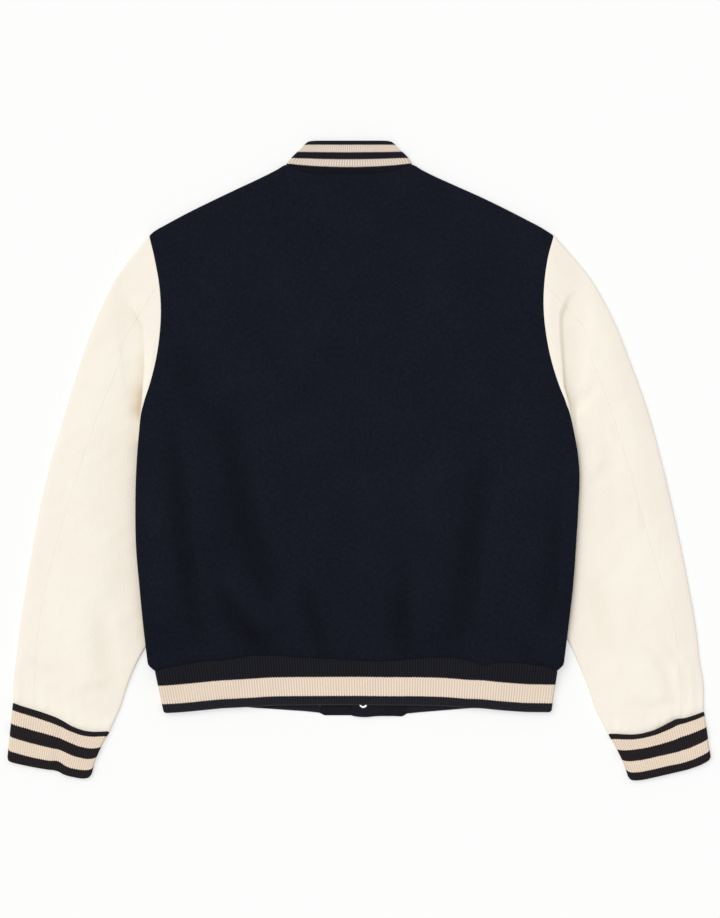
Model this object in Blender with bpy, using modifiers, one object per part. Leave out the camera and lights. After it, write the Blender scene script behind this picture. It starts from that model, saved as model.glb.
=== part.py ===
"""Varsity jacket, laid flat on its front, with its back up.

+X points to the wearer's right, +Y to the collar and +Z up, from the surface that the jacket lies on.
Body, sleeves, collar, hem rib and cuffs are flattened tubes: an upper wall, a lower wall and a round
fold at each side. Each sewn piece is a stretch of one such wall. A ring column says where a point lies
round the tube: share is its place from one fold (0) to the other (1), and turn is 90 on the upper wall,
-90 on the lower wall and in between round a fold.
"""

from collections import namedtuple
from math import cos, pi, radians, sin, sqrt

import bmesh
import bpy
from mathutils import Vector

MM = 0.001               # every size below is in millimetres

# Cloth walls
MELTON = 2.4             # wool body cloth
HIDE = 2.1               # sleeve leather with its backing
RIB = 2.6                # rib knit, folded double
SEAM = 0.5               # gap between two pieces sewn edge to edge

# Outside heights of the flattened tubes
BODY_LOFT = 8.0
FOLD_RADIUS = BODY_LOFT / 2
SLEEVE_LOFT = 5.6
CUFF_LOFT = 6.4

# The body's sides lie over the sleeves: they are lifted as far in as LIFT_FULL and flat past LIFT_NONE
LIFT_FULL = 62.0
LIFT_NONE = 150.0

# Neck: its two corners, where shoulder seam and collar fold meet, and its depth at the back and front
NECK_LEFT = (-98.9, 366.0)
NECK_RIGHT = (75.8, 364.6)
NECK_DEPTH_BACK = 11.0
NECK_DEPTH_FRONT = 80.0
SHOULDER_BULGE = 4.6     # how far a shoulder line rises over a straight one

# Collar: its fold edges run from the neck corners to these upper corners
COLLAR_LEFT = (-68.3, 394.9)
COLLAR_RIGHT = (46.6, 394.0)
COLLAR_CROWN = 5.6       # how far the back's top edge rises over the upper corners
COLLAR_DIP = 65.0        # how far the front's top edge falls below them
COLLAR_END_GAP = 1.6     # between the two ends at the throat

# Front closing: the centre line runs from the throat to the hem, and each front passes it
CENTRE_TOP = (-11.6, 286.0)
CENTRE_HEM = (5.4, -304.0)
LEFT_LAP = 14.5
RIGHT_LAP = 14.3
LAP_RISE = 2.7           # the right front lies this high over the left one
LAP_FLAT = 30.0          # width of the right front's raised strip
LAP_RAMP = 70.0          # and where it is down on the surface again

# Hem rib
HEM_LEFT = (-258.1, -255.0)
HEM_RIGHT = (250.6, -255.0)
RIB_LEFT = (-244.3, -314.8)
RIB_RIGHT = (240.0, -313.4)
RIB_LIFT = 1.0           # lift of the rib's lower edge at its two folds
TAB_HALF = 51.8          # from the centre line to a hem tab's outer end
TAB_LOW = -319.2         # lower edge of the hem tabs
FRONT_PARTS = (1.0, 0.84, 0.67, 0.5, 0.25)  # sections of the front's rib, from a tab back to the fold

# Snap fasteners
SNAP_COUNT = 6
SNAP_TOP = 261.0         # height of the highest snap's centre
CAP_RADIUS = 7.2
RING_RADIUS = 5.2
BARREL_RADIUS = 3.2
STUD_RADIUS = 1.9
SOCKET_RADIUS = 2.2
EYE_RADIUS = 1.6
FLANGE = 0.6
SOCKET_DEPTH = 1.5
STUD_LENGTH = 1.2
EYE_DEPTH = 1.0          # hollow of the ring's middle
SNAP_CLEARANCE = 0.3
HOLE_OVERSHOOT = 1.0     # how far a hole's cutter stands past the cloth
SNAP_TURN = 7.0          # degrees, so that no facet's corner lies on a cloth edge

QUARTER = (0, 30, 60, 90)              # turns of a quarter of a fold
FOLD = (90, 60, 30, 0, -30, -60, -90)  # turns of a whole fold, from the upper to the lower wall

# Body, from the shoulder tips down to the hem seam. The first nine rows run down the armholes.
BodyRow = namedtuple("BodyRow", "height left right lift")
BODY = [
    BodyRow(282.5, -261.3, 242.5, 0.0),
    BodyRow(252.0, -255.0, 233.8, 0.5),
    BodyRow(222.0, -249.6, 230.4, 1.1),
    BodyRow(190.0, -247.3, 229.0, 1.9),
    BodyRow(158.0, -248.8, 232.5, 2.8),
    BodyRow(126.0, -253.5, 239.8, 3.8),
    BodyRow(95.0, -261.3, 249.1, 4.8),
    BodyRow(64.0, -271.3, 261.0, 5.6),
    BodyRow(32.5, -275.0, 268.1, 6.0),
    BodyRow(-8.0, -277.5, 273.8, 6.0),
    BodyRow(-56.0, -278.8, 272.5, 6.0),
    BodyRow(-104.0, -278.5, 270.0, 6.0),
    BodyRow(-152.0, -274.4, 266.5, 6.0),
    BodyRow(-200.0, -269.6, 261.9, 6.0),
    BodyRow(-255.0, -263.0, 256.1, 5.4),
]
UNDERARM = 8             # row of BODY where the armholes end

# How far the seam over the hem rib, and the rib's lower edges, stray from a straight line
Wave = namedtuple("Wave", "share rise")
HEM_SEAM = [Wave(0, 0), Wave(0.1, 3.5), Wave(0.27, 11), Wave(0.4, 8.5), Wave(0.56, 4.7), Wave(0.7, 9.7),
            Wave(0.77, 6.6), Wave(0.82, -1), Wave(0.88, 3.5), Wave(0.97, 6), Wave(1, 0)]
BACK_EDGE = [Wave(0, 0), Wave(0.14, 4.5), Wave(0.2, 6.8), Wave(0.35, 9.2), Wave(0.74, 8.9), Wave(0.8, 6),
             Wave(0.9, 2), Wave(1, 0)]
FRONT_EDGE = [Wave(0, 0), Wave(0.2, 6), Wave(0.3, 4), Wave(0.35, 2), Wave(0.41, -2), Wave(0.62, -2),
              Wave(0.67, 0.2), Wave(0.72, 2.3), Wave(0.77, 4.2), Wave(0.82, 4.8), Wave(0.87, 2.2),
              Wave(1, 0)]
CUFF_SEAM = [Wave(0, 0), Wave(0.25, -0.4), Wave(0.4, -2), Wave(0.55, -6), Wave(0.7, -7.9),
             Wave(0.85, -5.5), Wave(1, 0)]
CUFF_EDGE = [Wave(0, 0), Wave(0.15, -3.4), Wave(0.45, -4.6), Wave(0.7, -7.2), Wave(0.88, -6), Wave(1, 0)]

# Sleeves, from below the armhole down to the cuff seam: the fold on the outside of the arm, the fold
# on its inside, and the back seam's share of the way between them
SleeveRow = namedtuple("SleeveRow", "outer_x outer_y inner_x inner_y seam")
LEFT_SLEEVE = [
    SleeveRow(-298.8, 236.0, -276.5, 16.0, 0.36),
    SleeveRow(-317.5, 201.0, -273.0, -8.0, 0.38),
    SleeveRow(-336.3, 157.3, -269.0, -32.0, 0.35),
    SleeveRow(-352.5, 109.8, -259.0, -60.0, 0.287),
    SleeveRow(-371.3, 47.3, -243.0, -94.0, 0.226),
    SleeveRow(-388.8, -14.0, -233.0, -131.0, 0.19),
    SleeveRow(-403.4, -81.5, -233.0, -168.0, 0.153),
    SleeveRow(-415.0, -149.0, -247.0, -204.0, 0.13),
    SleeveRow(-425.0, -214.0, -278.5, -252.0, 0.145),
    SleeveRow(-433.0, -302.8, -311.8, -338.6, 0.21),
]
RIGHT_SLEEVE = [
    SleeveRow(280.0, 237.3, 271.3, 13.0, 0.30),
    SleeveRow(298.8, 208.5, 270.5, -11.0, 0.36),
    SleeveRow(318.8, 171.0, 267.5, -34.0, 0.347),
    SleeveRow(337.5, 126.0, 260.0, -62.0, 0.31),
    SleeveRow(361.3, 62.3, 246.0, -96.0, 0.27),
    SleeveRow(380.0, -6.5, 233.0, -132.0, 0.229),
    SleeveRow(395.0, -71.5, 230.0, -168.0, 0.204),
    SleeveRow(410.0, -144.0, 241.0, -205.0, 0.18),
    SleeveRow(421.3, -215.3, 272.5, -251.0, 0.155),
    SleeveRow(431.5, -313.6, 311.6, -341.4, 0.23),
]
ROWS_BY_HALVES = 4       # down to this row a sleeve also gets a section halfway between two rows
FRONT_SEAM = 6           # armhole row at which the sleeve's front seam starts, on the lower wall
BACK_SEAM = 2            # and its back seam, on the upper wall

# Cuffs: their lower edge, from the fold on the outside of the arm to the fold on its inside
Edge = namedtuple("Edge", "outer_x outer_y inner_x inner_y")
LEFT_CUFF = Edge(-440.0, -373.0, -334.0, -393.1)
RIGHT_CUFF = Edge(440.0, -371.8, 335.3, -397.0)

# Colours
NAVY = (0.010, 0.012, 0.020)
CREAM = (0.86, 0.80, 0.69)
RIB_NAVY = (0.012, 0.013, 0.018)
STEEL = (0.72, 0.72, 0.70)


def fade(distance, start, stop):
    """1 up to start, 0 past stop and smooth in between."""
    t = min(max((distance - start) / (stop - start), 0.0), 1.0)
    return 1.0 - t * t * (3.0 - 2.0 * t)


def mix(a, b, t):
    return a + (b - a) * t


def wave(table, share):
    """Rise of an edge at a share of its length, straight between the rows of its table."""
    for low, high in zip(table, table[1:]):
        if share <= high.share:
            return mix(low.rise, high.rise, (share - low.share) / (high.share - low.share))
    return table[-1].rise


def centre_line(height):
    """The closing line's x at a height."""
    (top_x, top_y), (hem_x, hem_y) = CENTRE_TOP, CENTRE_HEM
    return mix(hem_x, top_x, (height - hem_y) / (top_y - hem_y))


def shoulder_height(x, tip, corner):
    """Height of a shoulder line at x, from its tip up to the neck corner."""
    along = (x - tip[0]) / (corner[0] - tip[0])
    return mix(tip[1], corner[1], along) + SHOULDER_BULGE * sin(pi * along ** 0.8)


def neck_share(x):
    return (x - NECK_LEFT[0]) / (NECK_RIGHT[0] - NECK_LEFT[0])


def round_share(share):
    """Half an ellipse over shares 0 to 1: the scoop of the front neck."""
    return 2.0 * sqrt(max(share * (1.0 - share), 0.0))


def shallow_share(share):
    """A shallow arc over shares 0 to 1: the curve of the back neck."""
    return 4.0 * share * (1.0 - share)


def top_edge(x, front):
    """Height of a body panel's upper edge at x: shoulder, neck, shoulder."""
    if x < NECK_LEFT[0]:
        return shoulder_height(x, (BODY[0].left, BODY[0].height), NECK_LEFT)
    if x > NECK_RIGHT[0]:
        return shoulder_height(x, (BODY[0].right, BODY[0].height), NECK_RIGHT)
    share = neck_share(x)
    corner = mix(NECK_LEFT[1], NECK_RIGHT[1], share)
    if front:
        return corner - NECK_DEPTH_FRONT * round_share(share)
    return corner - NECK_DEPTH_BACK * shallow_share(share)


def body_point(row, turn_up, column, radius, front):
    """A point on a body panel's wall, at a radius from the middle of the folds.

    turn_up is the turn about the shoulder fold. A column has its x at the upper edge, its share of the
    way between the folds, or from the side fold to the closing edge on a front, its turn about the
    side fold, and its side: -1 on the left front, 1 on the right front and 0 on the back. The neck and
    the armholes are cut edges, so the panel stays flat there.
    """
    section = BODY[row]
    top, hem = BODY[0].height, BODY[-1].height
    left, right = section.left + FOLD_RADIUS, section.right - FOLD_RADIUS
    if column.side < 0 and front:
        right = centre_line(section.height) + LEFT_LAP
    if column.side > 0 and front:
        left = centre_line(section.height) - RIGHT_LAP
    x = mix(left, right, column.share)
    around_side = sin(radians(column.turn))
    reach = radius
    if row <= UNDERARM:
        around_side = 1.0
        reach = FOLD_RADIUS
    x += (-reach if column.share == 0.0 else reach) * cos(radians(column.turn))
    upward = (section.height - hem) / (top - hem)
    y = section.height + (top_edge(column.top_x, front) - top) * upward
    if not front:
        y += wave(HEM_SEAM, column.share) * (1.0 - upward) ** 3
    around_shoulder = 1.0
    if row == 0:
        reach = FOLD_RADIUS
        if not NECK_LEFT[0] < column.top_x < NECK_RIGHT[0]:
            around_shoulder = sin(radians(turn_up))
            reach = radius
        y -= FOLD_RADIUS - reach * cos(radians(turn_up))
    half = mix(SEAM / 2, radius, min(around_shoulder, around_side))
    inset = min(x - section.left, section.right - x)
    middle = section.lift * fade(inset, LIFT_FULL, LIFT_NONE) + FOLD_RADIUS
    if not front:
        return Vector((x, y, middle + half))
    if column.side > 0:
        middle += lap_rise(x, section.height)
    return Vector((x, y, middle - half))


def lap_rise(x, height):
    """How high the right front lies over the surface near its closing edge."""
    return LAP_RISE * fade(x - (centre_line(height) - RIGHT_LAP), LAP_FLAT, LAP_RAMP)


def make_material(name, colour, roughness, metallic=0.0):
    material = bpy.data.materials.new(name)
    material.use_nodes = True
    shader = material.node_tree.nodes["Principled BSDF"]
    shader.inputs["Base Color"].default_value = (*colour, 1.0)
    shader.inputs["Roughness"].default_value = roughness
    shader.inputs["Metallic"].default_value = metallic
    material.diffuse_color = (*colour, 1.0)
    return material


def make_collection(name):
    collection = bpy.data.collections.new(name)
    bpy.context.scene.collection.children.link(collection)
    return collection


def make_cloth(name, grid, colour, closed=False):
    """Make a wall from rows of (outer, inner) points: a grid, extruded from its outer to its inner
    face. A closed wall's last column lies on its first."""
    rows, columns = len(grid), len(grid[0])
    bm = bmesh.new()
    bmesh.ops.create_grid(bm, x_segments=columns - 1, y_segments=rows - 1, size=0.5)
    number = bm.verts.layers.int.new("number")
    for place, vert in enumerate(bm.verts):
        vert[number] = place
        row, column = divmod(place, columns)
        vert.co = grid[row][column][0] * MM
    if closed:
        bmesh.ops.remove_doubles(bm, verts=bm.verts, dist=0.00001)
    lining = bmesh.ops.extrude_face_region(bm, geom=bm.faces, use_keep_orig=True)
    for vert in lining["geom"]:
        if isinstance(vert, bmesh.types.BMVert):
            row, column = divmod(vert[number], columns)
            vert.co = grid[row][column][1] * MM
    bmesh.ops.recalc_face_normals(bm, faces=bm.faces)
    mesh = bpy.data.meshes.new(name)
    bm.to_mesh(mesh)
    bm.free()
    mesh.materials.append(make_material(name, colour, 0.9))
    piece = bpy.data.objects.new(name, mesh)
    jacket.objects.link(piece)


# Body panels

Column = namedtuple("Column", "top_x share turn side")


def body_rows():
    """Row numbers and turns about the shoulder fold, from the hem up."""
    side = [(row, 90) for row in range(len(BODY) - 1, 0, -1)]
    return side + [(0, turn) for turn in reversed(QUARTER)]


def shoulder_columns(tip_x, corner_x):
    """x at the upper edge of the columns between a side fold and the neck corner."""
    return [mix(tip_x, corner_x, step / 4) for step in range(4)]


def neck_columns(start, stop, count):
    """x of columns spread round the neck's curve, between two angles of it."""
    middle = (NECK_LEFT[0] + NECK_RIGHT[0]) / 2
    half = (NECK_RIGHT[0] - NECK_LEFT[0]) / 2
    angles = [mix(start, stop, step / count) for step in range(count + 1)]
    return [middle - half * cos(radians(angle)) for angle in angles]


LEFT_TOP = BODY[0].left + FOLD_RADIUS
RIGHT_TOP = BODY[0].right - FOLD_RADIUS
LEFT_SHOULDER = shoulder_columns(LEFT_TOP, NECK_LEFT[0])
RIGHT_SHOULDER = shoulder_columns(RIGHT_TOP, NECK_RIGHT[0])[::-1]
LEFT_NECK = neck_columns(0, 90, 4)
RIGHT_NECK = neck_columns(100, 180, 4)


def make_panel(name, columns, front):
    grid = []
    for row, turn_up in body_rows():
        points = []
        for column in columns:
            outer = body_point(row, turn_up, column, FOLD_RADIUS, front)
            inner = body_point(row, turn_up, column, FOLD_RADIUS - MELTON, front)
            points.append((outer, inner))
        grid.append(points)
    make_cloth(name, grid, NAVY)


def flat_columns(positions, low, high, side):
    """Columns clear of the side folds, from their x at the upper edge."""
    return [Column(x, (x - low) / (high - low), 90, side) for x in positions]


def make_back():
    """The back: one panel from side seam to side seam and from shoulders and neck to the hem."""
    columns = [Column(BODY[0].left, 0.0, turn, 0) for turn in QUARTER[:-1]]
    columns += flat_columns(LEFT_SHOULDER + LEFT_NECK + RIGHT_NECK + RIGHT_SHOULDER,
                            LEFT_TOP, RIGHT_TOP, 0)
    columns += [Column(BODY[0].right, 1.0, turn, 0) for turn in reversed(QUARTER[:-1])]
    make_panel("back_panel", columns, False)


def make_fronts():
    """The fronts: each from its side seam to its closing edge."""
    edge = CENTRE_TOP[0] + LEFT_LAP
    columns = [Column(BODY[0].left, 0.0, turn, -1) for turn in QUARTER[:-1]]
    columns += flat_columns(LEFT_SHOULDER + LEFT_NECK + [edge], LEFT_TOP, edge, -1)
    make_panel("left_front", columns, True)
    edge = CENTRE_TOP[0] - RIGHT_LAP
    columns = flat_columns([edge, CENTRE_TOP[0]] + RIGHT_NECK + RIGHT_SHOULDER, edge, RIGHT_TOP, 1)
    columns += [Column(BODY[0].right, 1.0, turn, 1) for turn in reversed(QUARTER[:-1])]
    make_panel("right_front", columns, True)


# Sleeves

def armhole_point(side, row):
    """Middle of the armhole's edge at a body row, just outside the body."""
    section = BODY[row]
    edge = section.left if side < 0 else section.right
    drop = FOLD_RADIUS if row == 0 else 0.0
    return Vector((edge + side * SEAM, section.height - drop))


def sleeve_share(seam, column):
    """Share of the way between a sleeve's folds at which one of its columns lies."""
    if column <= BACK_SEAM:
        return seam * column / BACK_SEAM
    return mix(seam, 1.0, (column - BACK_SEAM) / (UNDERARM - BACK_SEAM))


def sleeve_station(table, side, station, column):
    """Plan point of a sleeve's flat column; station 0 is the armhole, the last is the cuff seam."""
    if station == 0:
        return armhole_point(side, column)
    row = table[station - 1]
    outer = Vector((row.outer_x, row.outer_y))
    inner = Vector((row.inner_x, row.inner_y))
    inward = (inner - outer).normalized() * SLEEVE_LOFT / 2
    share = sleeve_share(row.seam, column)
    point = (outer + inward).lerp(inner - inward, share)
    if station == len(table):
        point.y += wave(CUFF_SEAM, share)
    return point


def between(points, t):
    """Catmull-Rom curve between the middle two of four points."""
    a, b, c, d = points
    return 0.5 * (2 * b + (c - a) * t + (2 * a - 5 * b + 4 * c - d) * t ** 2
                  + (3 * b - a - 3 * c + d) * t ** 3)


def sleeve_plan(table, side, place, column):
    """Plan point at any place along a sleeve, on a smooth curve through its stations."""
    station = min(int(place), len(table) - 1)
    if place == int(place):
        return sleeve_station(table, side, int(place), column)
    near = [min(max(station + step, 0), len(table)) for step in (-1, 0, 1, 2)]
    return between([sleeve_station(table, side, number, column) for number in near], place - station)


def sleeve_lift(place, column):
    """Height of a sleeve's lower wall over the surface: it starts down gently from the armhole."""
    return BODY[column].lift * (1.0 - min(place, 1.0) ** 2)


def sleeve_point(table, side, place, column, turn, depth):
    """Point in a sleeve's wall, at a depth under its outside."""
    loft = mix(FOLD_RADIUS, SLEEVE_LOFT / 2, min(place, 1.0))
    radius = loft - depth
    flat = sleeve_plan(table, side, place, column)
    if abs(turn) < 90:
        inner_neighbour = 1 if column == 0 else UNDERARM - 1
        outward = (flat - sleeve_plan(table, side, place, inner_neighbour)).normalized()
        flat = flat + outward * radius * cos(radians(turn))
    z = sleeve_lift(place, column) + loft + radius * sin(radians(turn))
    return Vector((flat.x, flat.y, z))


def make_sleeve(prefix, table, side):
    """A two-piece sleeve: the topsleeve lies round the outer fold, the undersleeve round the inner."""
    places = [len(table) - step for step in range(len(table) - ROWS_BY_HALVES)]
    places += [ROWS_BY_HALVES - step / 2 for step in range(2 * ROWS_BY_HALVES + 1)]
    over_outer = [(column, 90) for column in range(BACK_SEAM, 0, -1)]
    over_outer += [(0, turn) for turn in FOLD]
    over_outer += [(column, -90) for column in range(1, FRONT_SEAM + 1)]
    round_inner = [(column, -90) for column in range(FRONT_SEAM, UNDERARM)]
    round_inner += [(UNDERARM, turn) for turn in reversed(FOLD)]
    round_inner += [(column, 90) for column in range(UNDERARM - 1, BACK_SEAM - 1, -1)]
    for piece, columns in (("topsleeve", over_outer), ("undersleeve", round_inner)):
        grid = []
        for place in places:
            walls = [[sleeve_point(table, side, place, column, turn, depth) for column, turn in columns]
                     for depth in (0.0, HIDE)]
            for points in walls:
                part_seams(points)
            grid.append(list(zip(*walls)))
        make_cloth(prefix + "_" + piece, grid, CREAM)


def part_seams(points):
    """Draw a row's two ends back by half a seam's gap."""
    for end, neighbour in ((0, 1), (-1, -2)):
        step = points[neighbour] - points[end]
        points[end] = points[end] + step.normalized() * SEAM / 2


# Rib pieces

def ring_point(left, right, column, loft, depth, lift, rises):
    """Point in a flattened tube's wall, at a depth under its outside, on the section from left to
    right. A column is (share, turn), and rises are those of the upper and the lower wall."""
    share, turn = column
    radius = loft / 2 - depth
    direction = (right - left).normalized()
    inward = direction * loft / 2
    flat = (left + inward).lerp(right - inward, share)
    if abs(turn) < 90:
        flat = flat + direction * (-radius if share == 0.0 else radius) * cos(radians(turn))
    rise = rises[0] if turn > 0 else rises[1]
    return Vector((flat.x, flat.y + rise, lift + loft / 2 + radius * sin(radians(turn))))


def rib_wall(left, right, column, loft, lift, rises):
    """The outer and the inner point of a rib band at one place of a section."""
    outer = ring_point(left, right, column, loft, 0.0, lift, rises)
    inner = ring_point(left, right, column, loft, RIB, lift, rises)
    return outer, inner


def ring_columns(lower_left, upper, lower_right):
    """Columns from the lower wall's left part over the upper wall to the lower wall's right part."""
    columns = [(share, -90) for share in lower_left]
    columns += [(0.0, turn) for turn in reversed(FOLD)]
    columns += [(share, 90) for share in upper]
    columns += [(1.0, turn) for turn in FOLD]
    columns += [(share, -90) for share in lower_right]
    return columns


def inner_shares(positions, low, high):
    """Shares between two folds of the positions that lie clear of them."""
    shares = [(x - low) / (high - low) for x in positions]
    return [share for share in shares if 0.02 < share < 0.98]


def make_collar():
    """The collar: a doubled band of rib from the throat over both folds and across the back neck."""
    base_left = Vector(NECK_LEFT) + Vector((SEAM, SEAM))
    base_right = Vector(NECK_RIGHT) + Vector((-SEAM, SEAM))
    top_left = Vector(COLLAR_LEFT)
    top_right = Vector(COLLAR_RIGHT)
    throat = neck_share(CENTRE_TOP[0])
    gap = COLLAR_END_GAP / 2 / (NECK_RIGHT[0] - NECK_LEFT[0])
    left = inner_shares(LEFT_NECK[:-1], NECK_LEFT[0], NECK_RIGHT[0])
    right = inner_shares(RIGHT_NECK, NECK_LEFT[0], NECK_RIGHT[0])
    columns = ring_columns([throat - gap] + left[::-1], left + right, right[::-1] + [throat + gap])
    grid = []
    for step in range(4):
        height = step / 3
        row = []
        left_fold = base_left.lerp(top_left, height)
        right_fold = base_right.lerp(top_right, height)
        for column in columns:
            share = column[0]
            back = mix(-NECK_DEPTH_BACK, COLLAR_CROWN, height) * shallow_share(share)
            front = -mix(NECK_DEPTH_FRONT, COLLAR_DIP, height) * round_share(share)
            row.append(rib_wall(left_fold, right_fold, column, BODY_LOFT, 0.0, (back, front)))
        grid.append(row)
    make_cloth("collar", grid, RIB_NAVY)


def make_hem_rib():
    """The hem rib: a doubled band from one hem tab over both side folds and across the back."""
    flat = LEFT_SHOULDER + LEFT_NECK + RIGHT_NECK + RIGHT_SHOULDER
    upper = inner_shares(flat, LEFT_TOP, RIGHT_TOP)
    grid = []
    for step in range(4):
        height = step / 3
        left_fold = Vector(RIB_LEFT).lerp(Vector(HEM_LEFT), height)
        right_fold = Vector(RIB_RIGHT).lerp(Vector(HEM_RIGHT), height)
        low = left_fold.x + FOLD_RADIUS
        width = right_fold.x - FOLD_RADIUS - low
        left_end = (CENTRE_HEM[0] - TAB_HALF - low) / width
        right_end = (CENTRE_HEM[0] + TAB_HALF - low) / width
        left = [left_end * part for part in FRONT_PARTS]
        right = [mix(1.0, right_end, part) for part in reversed(FRONT_PARTS)]
        row = []
        for column in ring_columns(left, upper, right):
            share = column[0]
            near_fold = fade(min(share, 1.0 - share) * width, LIFT_FULL, LIFT_NONE)
            lift = mix(RIB_LIFT, BODY[-1].lift, height) * near_fold
            back = mix(wave(BACK_EDGE, share), wave(HEM_SEAM, share) - SEAM, height)
            front = mix(wave(FRONT_EDGE, share), -SEAM, height)
            row.append(rib_wall(left_fold, right_fold, column, BODY_LOFT, lift, (back, front)))
        grid.append(row)
    make_cloth("hem_rib", grid, RIB_NAVY)


def make_hem_tab(name, side):
    """A square of body cloth that ends the hem rib at the closing."""
    outer = CENTRE_HEM[0] + side * (TAB_HALF - SEAM)
    inner = CENTRE_HEM[0] - side * (LEFT_LAP if side < 0 else RIGHT_LAP)
    grid = []
    for height in (TAB_LOW, mix(TAB_LOW, HEM_LEFT[1], 0.5), HEM_LEFT[1] - SEAM):
        row = []
        for part in (0.0, 0.25, 0.5, 1.0):
            x = mix(outer, inner, part)
            rise = lap_rise(x, CENTRE_HEM[1]) if side > 0 else 0.0
            row.append((Vector((x, height, rise)), Vector((x, height, rise + MELTON))))
        grid.append(row)
    make_cloth(name, grid, NAVY)


def make_cuff(name, table, edge):
    """A cuff: a closed tube of doubled rib, with its seam to the sleeve above."""
    last = table[-1]
    seam_outer = Vector((last.outer_x, last.outer_y - SEAM))
    seam_inner = Vector((last.inner_x, last.inner_y - SEAM))
    low_outer = Vector((edge.outer_x, edge.outer_y))
    low_inner = Vector((edge.inner_x, edge.inner_y))
    shares = [sleeve_share(last.seam, column) for column in range(1, UNDERARM)]
    columns = [(0.0, turn) for turn in reversed(FOLD)]
    columns += [(share, 90) for share in shares]
    columns += [(1.0, turn) for turn in FOLD]
    columns += [(share, -90) for share in reversed(shares)]
    columns.append(columns[0])
    grid = []
    for step in range(4):
        height = step / 3
        row = []
        outer_fold = low_outer.lerp(seam_outer, height)
        inner_fold = low_inner.lerp(seam_inner, height)
        for column in columns:
            rise = mix(wave(CUFF_EDGE, column[0]), wave(CUFF_SEAM, column[0]), height)
            row.append(rib_wall(outer_fold, inner_fold, column, CUFF_LOFT, 0.0, (rise, rise)))
        grid.append(row)
    make_cloth(name, grid, RIB_NAVY, closed=True)


# Snap fasteners

def snap_places():
    """Centres of the snaps, down the closing line."""
    heights = [mix(SNAP_TOP, CENTRE_HEM[1], step / (SNAP_COUNT - 1)) for step in range(SNAP_COUNT)]
    return [(centre_line(height), height) for height in heights]


def turned(name, profile, collection, places):
    """A turned solid at each place; the profile runs down the outer side, (radius, height)."""
    bm = bmesh.new()
    verts = [bm.verts.new((radius * MM, 0.0, height * MM)) for radius, height in profile]
    for low, high in zip(verts, verts[1:]):
        bm.edges.new((low, high))
    mesh = bpy.data.meshes.new(name)
    bm.to_mesh(mesh)
    bm.free()
    solids = []
    for number, (x, y) in enumerate(places, start=1):
        solid = bpy.data.objects.new(name + "_" + str(number), mesh)
        solid.location = (x * MM, y * MM, 0.0)
        solid.rotation_euler.z = radians(SNAP_TURN)
        collection.objects.link(solid)
        screw = solid.modifiers.new("turn", "SCREW")
        screw.steps = 12
        screw.render_steps = 12
        screw.use_merge_vertices = True
        screw.merge_threshold = 0.00001
        solids.append(solid)
    return solids


def spool(base, top, low_radius, high_radius, barrel, flange):
    """Profile of two flanges on a barrel, from its top centre to its bottom centre."""
    return [(0.0, top), (high_radius, top), (high_radius, top - flange), (barrel, top - flange),
            (barrel, base + flange), (low_radius, base + flange), (low_radius, base), (0.0, base)]


def make_snaps():
    """Each snap is a cap riveted to its socket through the left front, and a ring riveted to its stud
    through the right front. The cloth between the flanges is pressed thin."""
    places = snap_places()
    left_top = MELTON
    right_base = LAP_RISE
    right_top = LAP_RISE + MELTON
    socket_floor = left_top - SOCKET_DEPTH
    stud_tip = right_base - STUD_LENGTH
    eye_floor = right_top - EYE_DEPTH
    socket = spool(0.0, left_top, CAP_RADIUS, RING_RADIUS, BARREL_RADIUS, FLANGE)
    socket = [(0.0, socket_floor), (SOCKET_RADIUS, socket_floor), (SOCKET_RADIUS, left_top)] + socket[1:]
    stud = spool(right_base, right_top, RING_RADIUS, RING_RADIUS, BARREL_RADIUS, FLANGE)
    eye = [(0.0, eye_floor), (EYE_RADIUS, eye_floor), (EYE_RADIUS, right_top)]
    nub = [(STUD_RADIUS, right_base), (STUD_RADIUS, stud_tip), (0.0, stud_tip)]
    stud = eye + stud[1:-1] + nub
    for name, profile in (("snap_socket", socket), ("snap_stud", stud)):
        solids = turned(name, profile, jacket, places)
        solids[0].data.materials.append(make_material(name, STEEL, 0.3, 1.0))


def hole_cutters(name, base, radius_low, places):
    """Stepped holes for one half of the snaps, with clearance all round."""
    clear = SNAP_CLEARANCE
    profile = spool(base - HOLE_OVERSHOOT, base + MELTON + HOLE_OVERSHOOT, radius_low + clear,
                    RING_RADIUS + clear, BARREL_RADIUS + clear, FLANGE + clear + HOLE_OVERSHOOT)
    holes = turned(name, profile, cutters, places)
    for hole in holes:
        hole.hide_render = True
        hole.display_type = "WIRE"
    return holes


def cut(piece, holes):
    for hole in holes:
        boolean = piece.modifiers.new("hole", "BOOLEAN")
        boolean.operation = "DIFFERENCE"
        boolean.solver = "EXACT"
        boolean.object = hole


def cut_snap_holes():
    """The fronts take every snap but the lowest, which closes the hem tabs."""
    places = snap_places()
    for name, base, radius_low, front, tab in (
            ("left_hole", 0.0, CAP_RADIUS, "left_front", "left_hem_tab"),
            ("right_hole", LAP_RISE, RING_RADIUS, "right_front", "right_hem_tab")):
        holes = hole_cutters(name, base, radius_low, places)
        cut(bpy.data.objects[front], holes[:-1])
        cut(bpy.data.objects[tab], holes[-1:])


for old in list(bpy.data.objects):
    bpy.data.objects.remove(old, do_unlink=True)
jacket = make_collection("varsity_jacket")
cutters = make_collection("cutters")
make_back()
make_fronts()
make_sleeve("left", LEFT_SLEEVE, -1)
make_sleeve("right", RIGHT_SLEEVE, 1)
make_collar()
make_hem_rib()
make_hem_tab("left_hem_tab", -1)
make_hem_tab("right_hem_tab", 1)
make_cuff("left_cuff", LEFT_SLEEVE, LEFT_CUFF)
make_cuff("right_cuff", RIGHT_SLEEVE, RIGHT_CUFF)
make_snaps()
cut_snap_holes()
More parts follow.
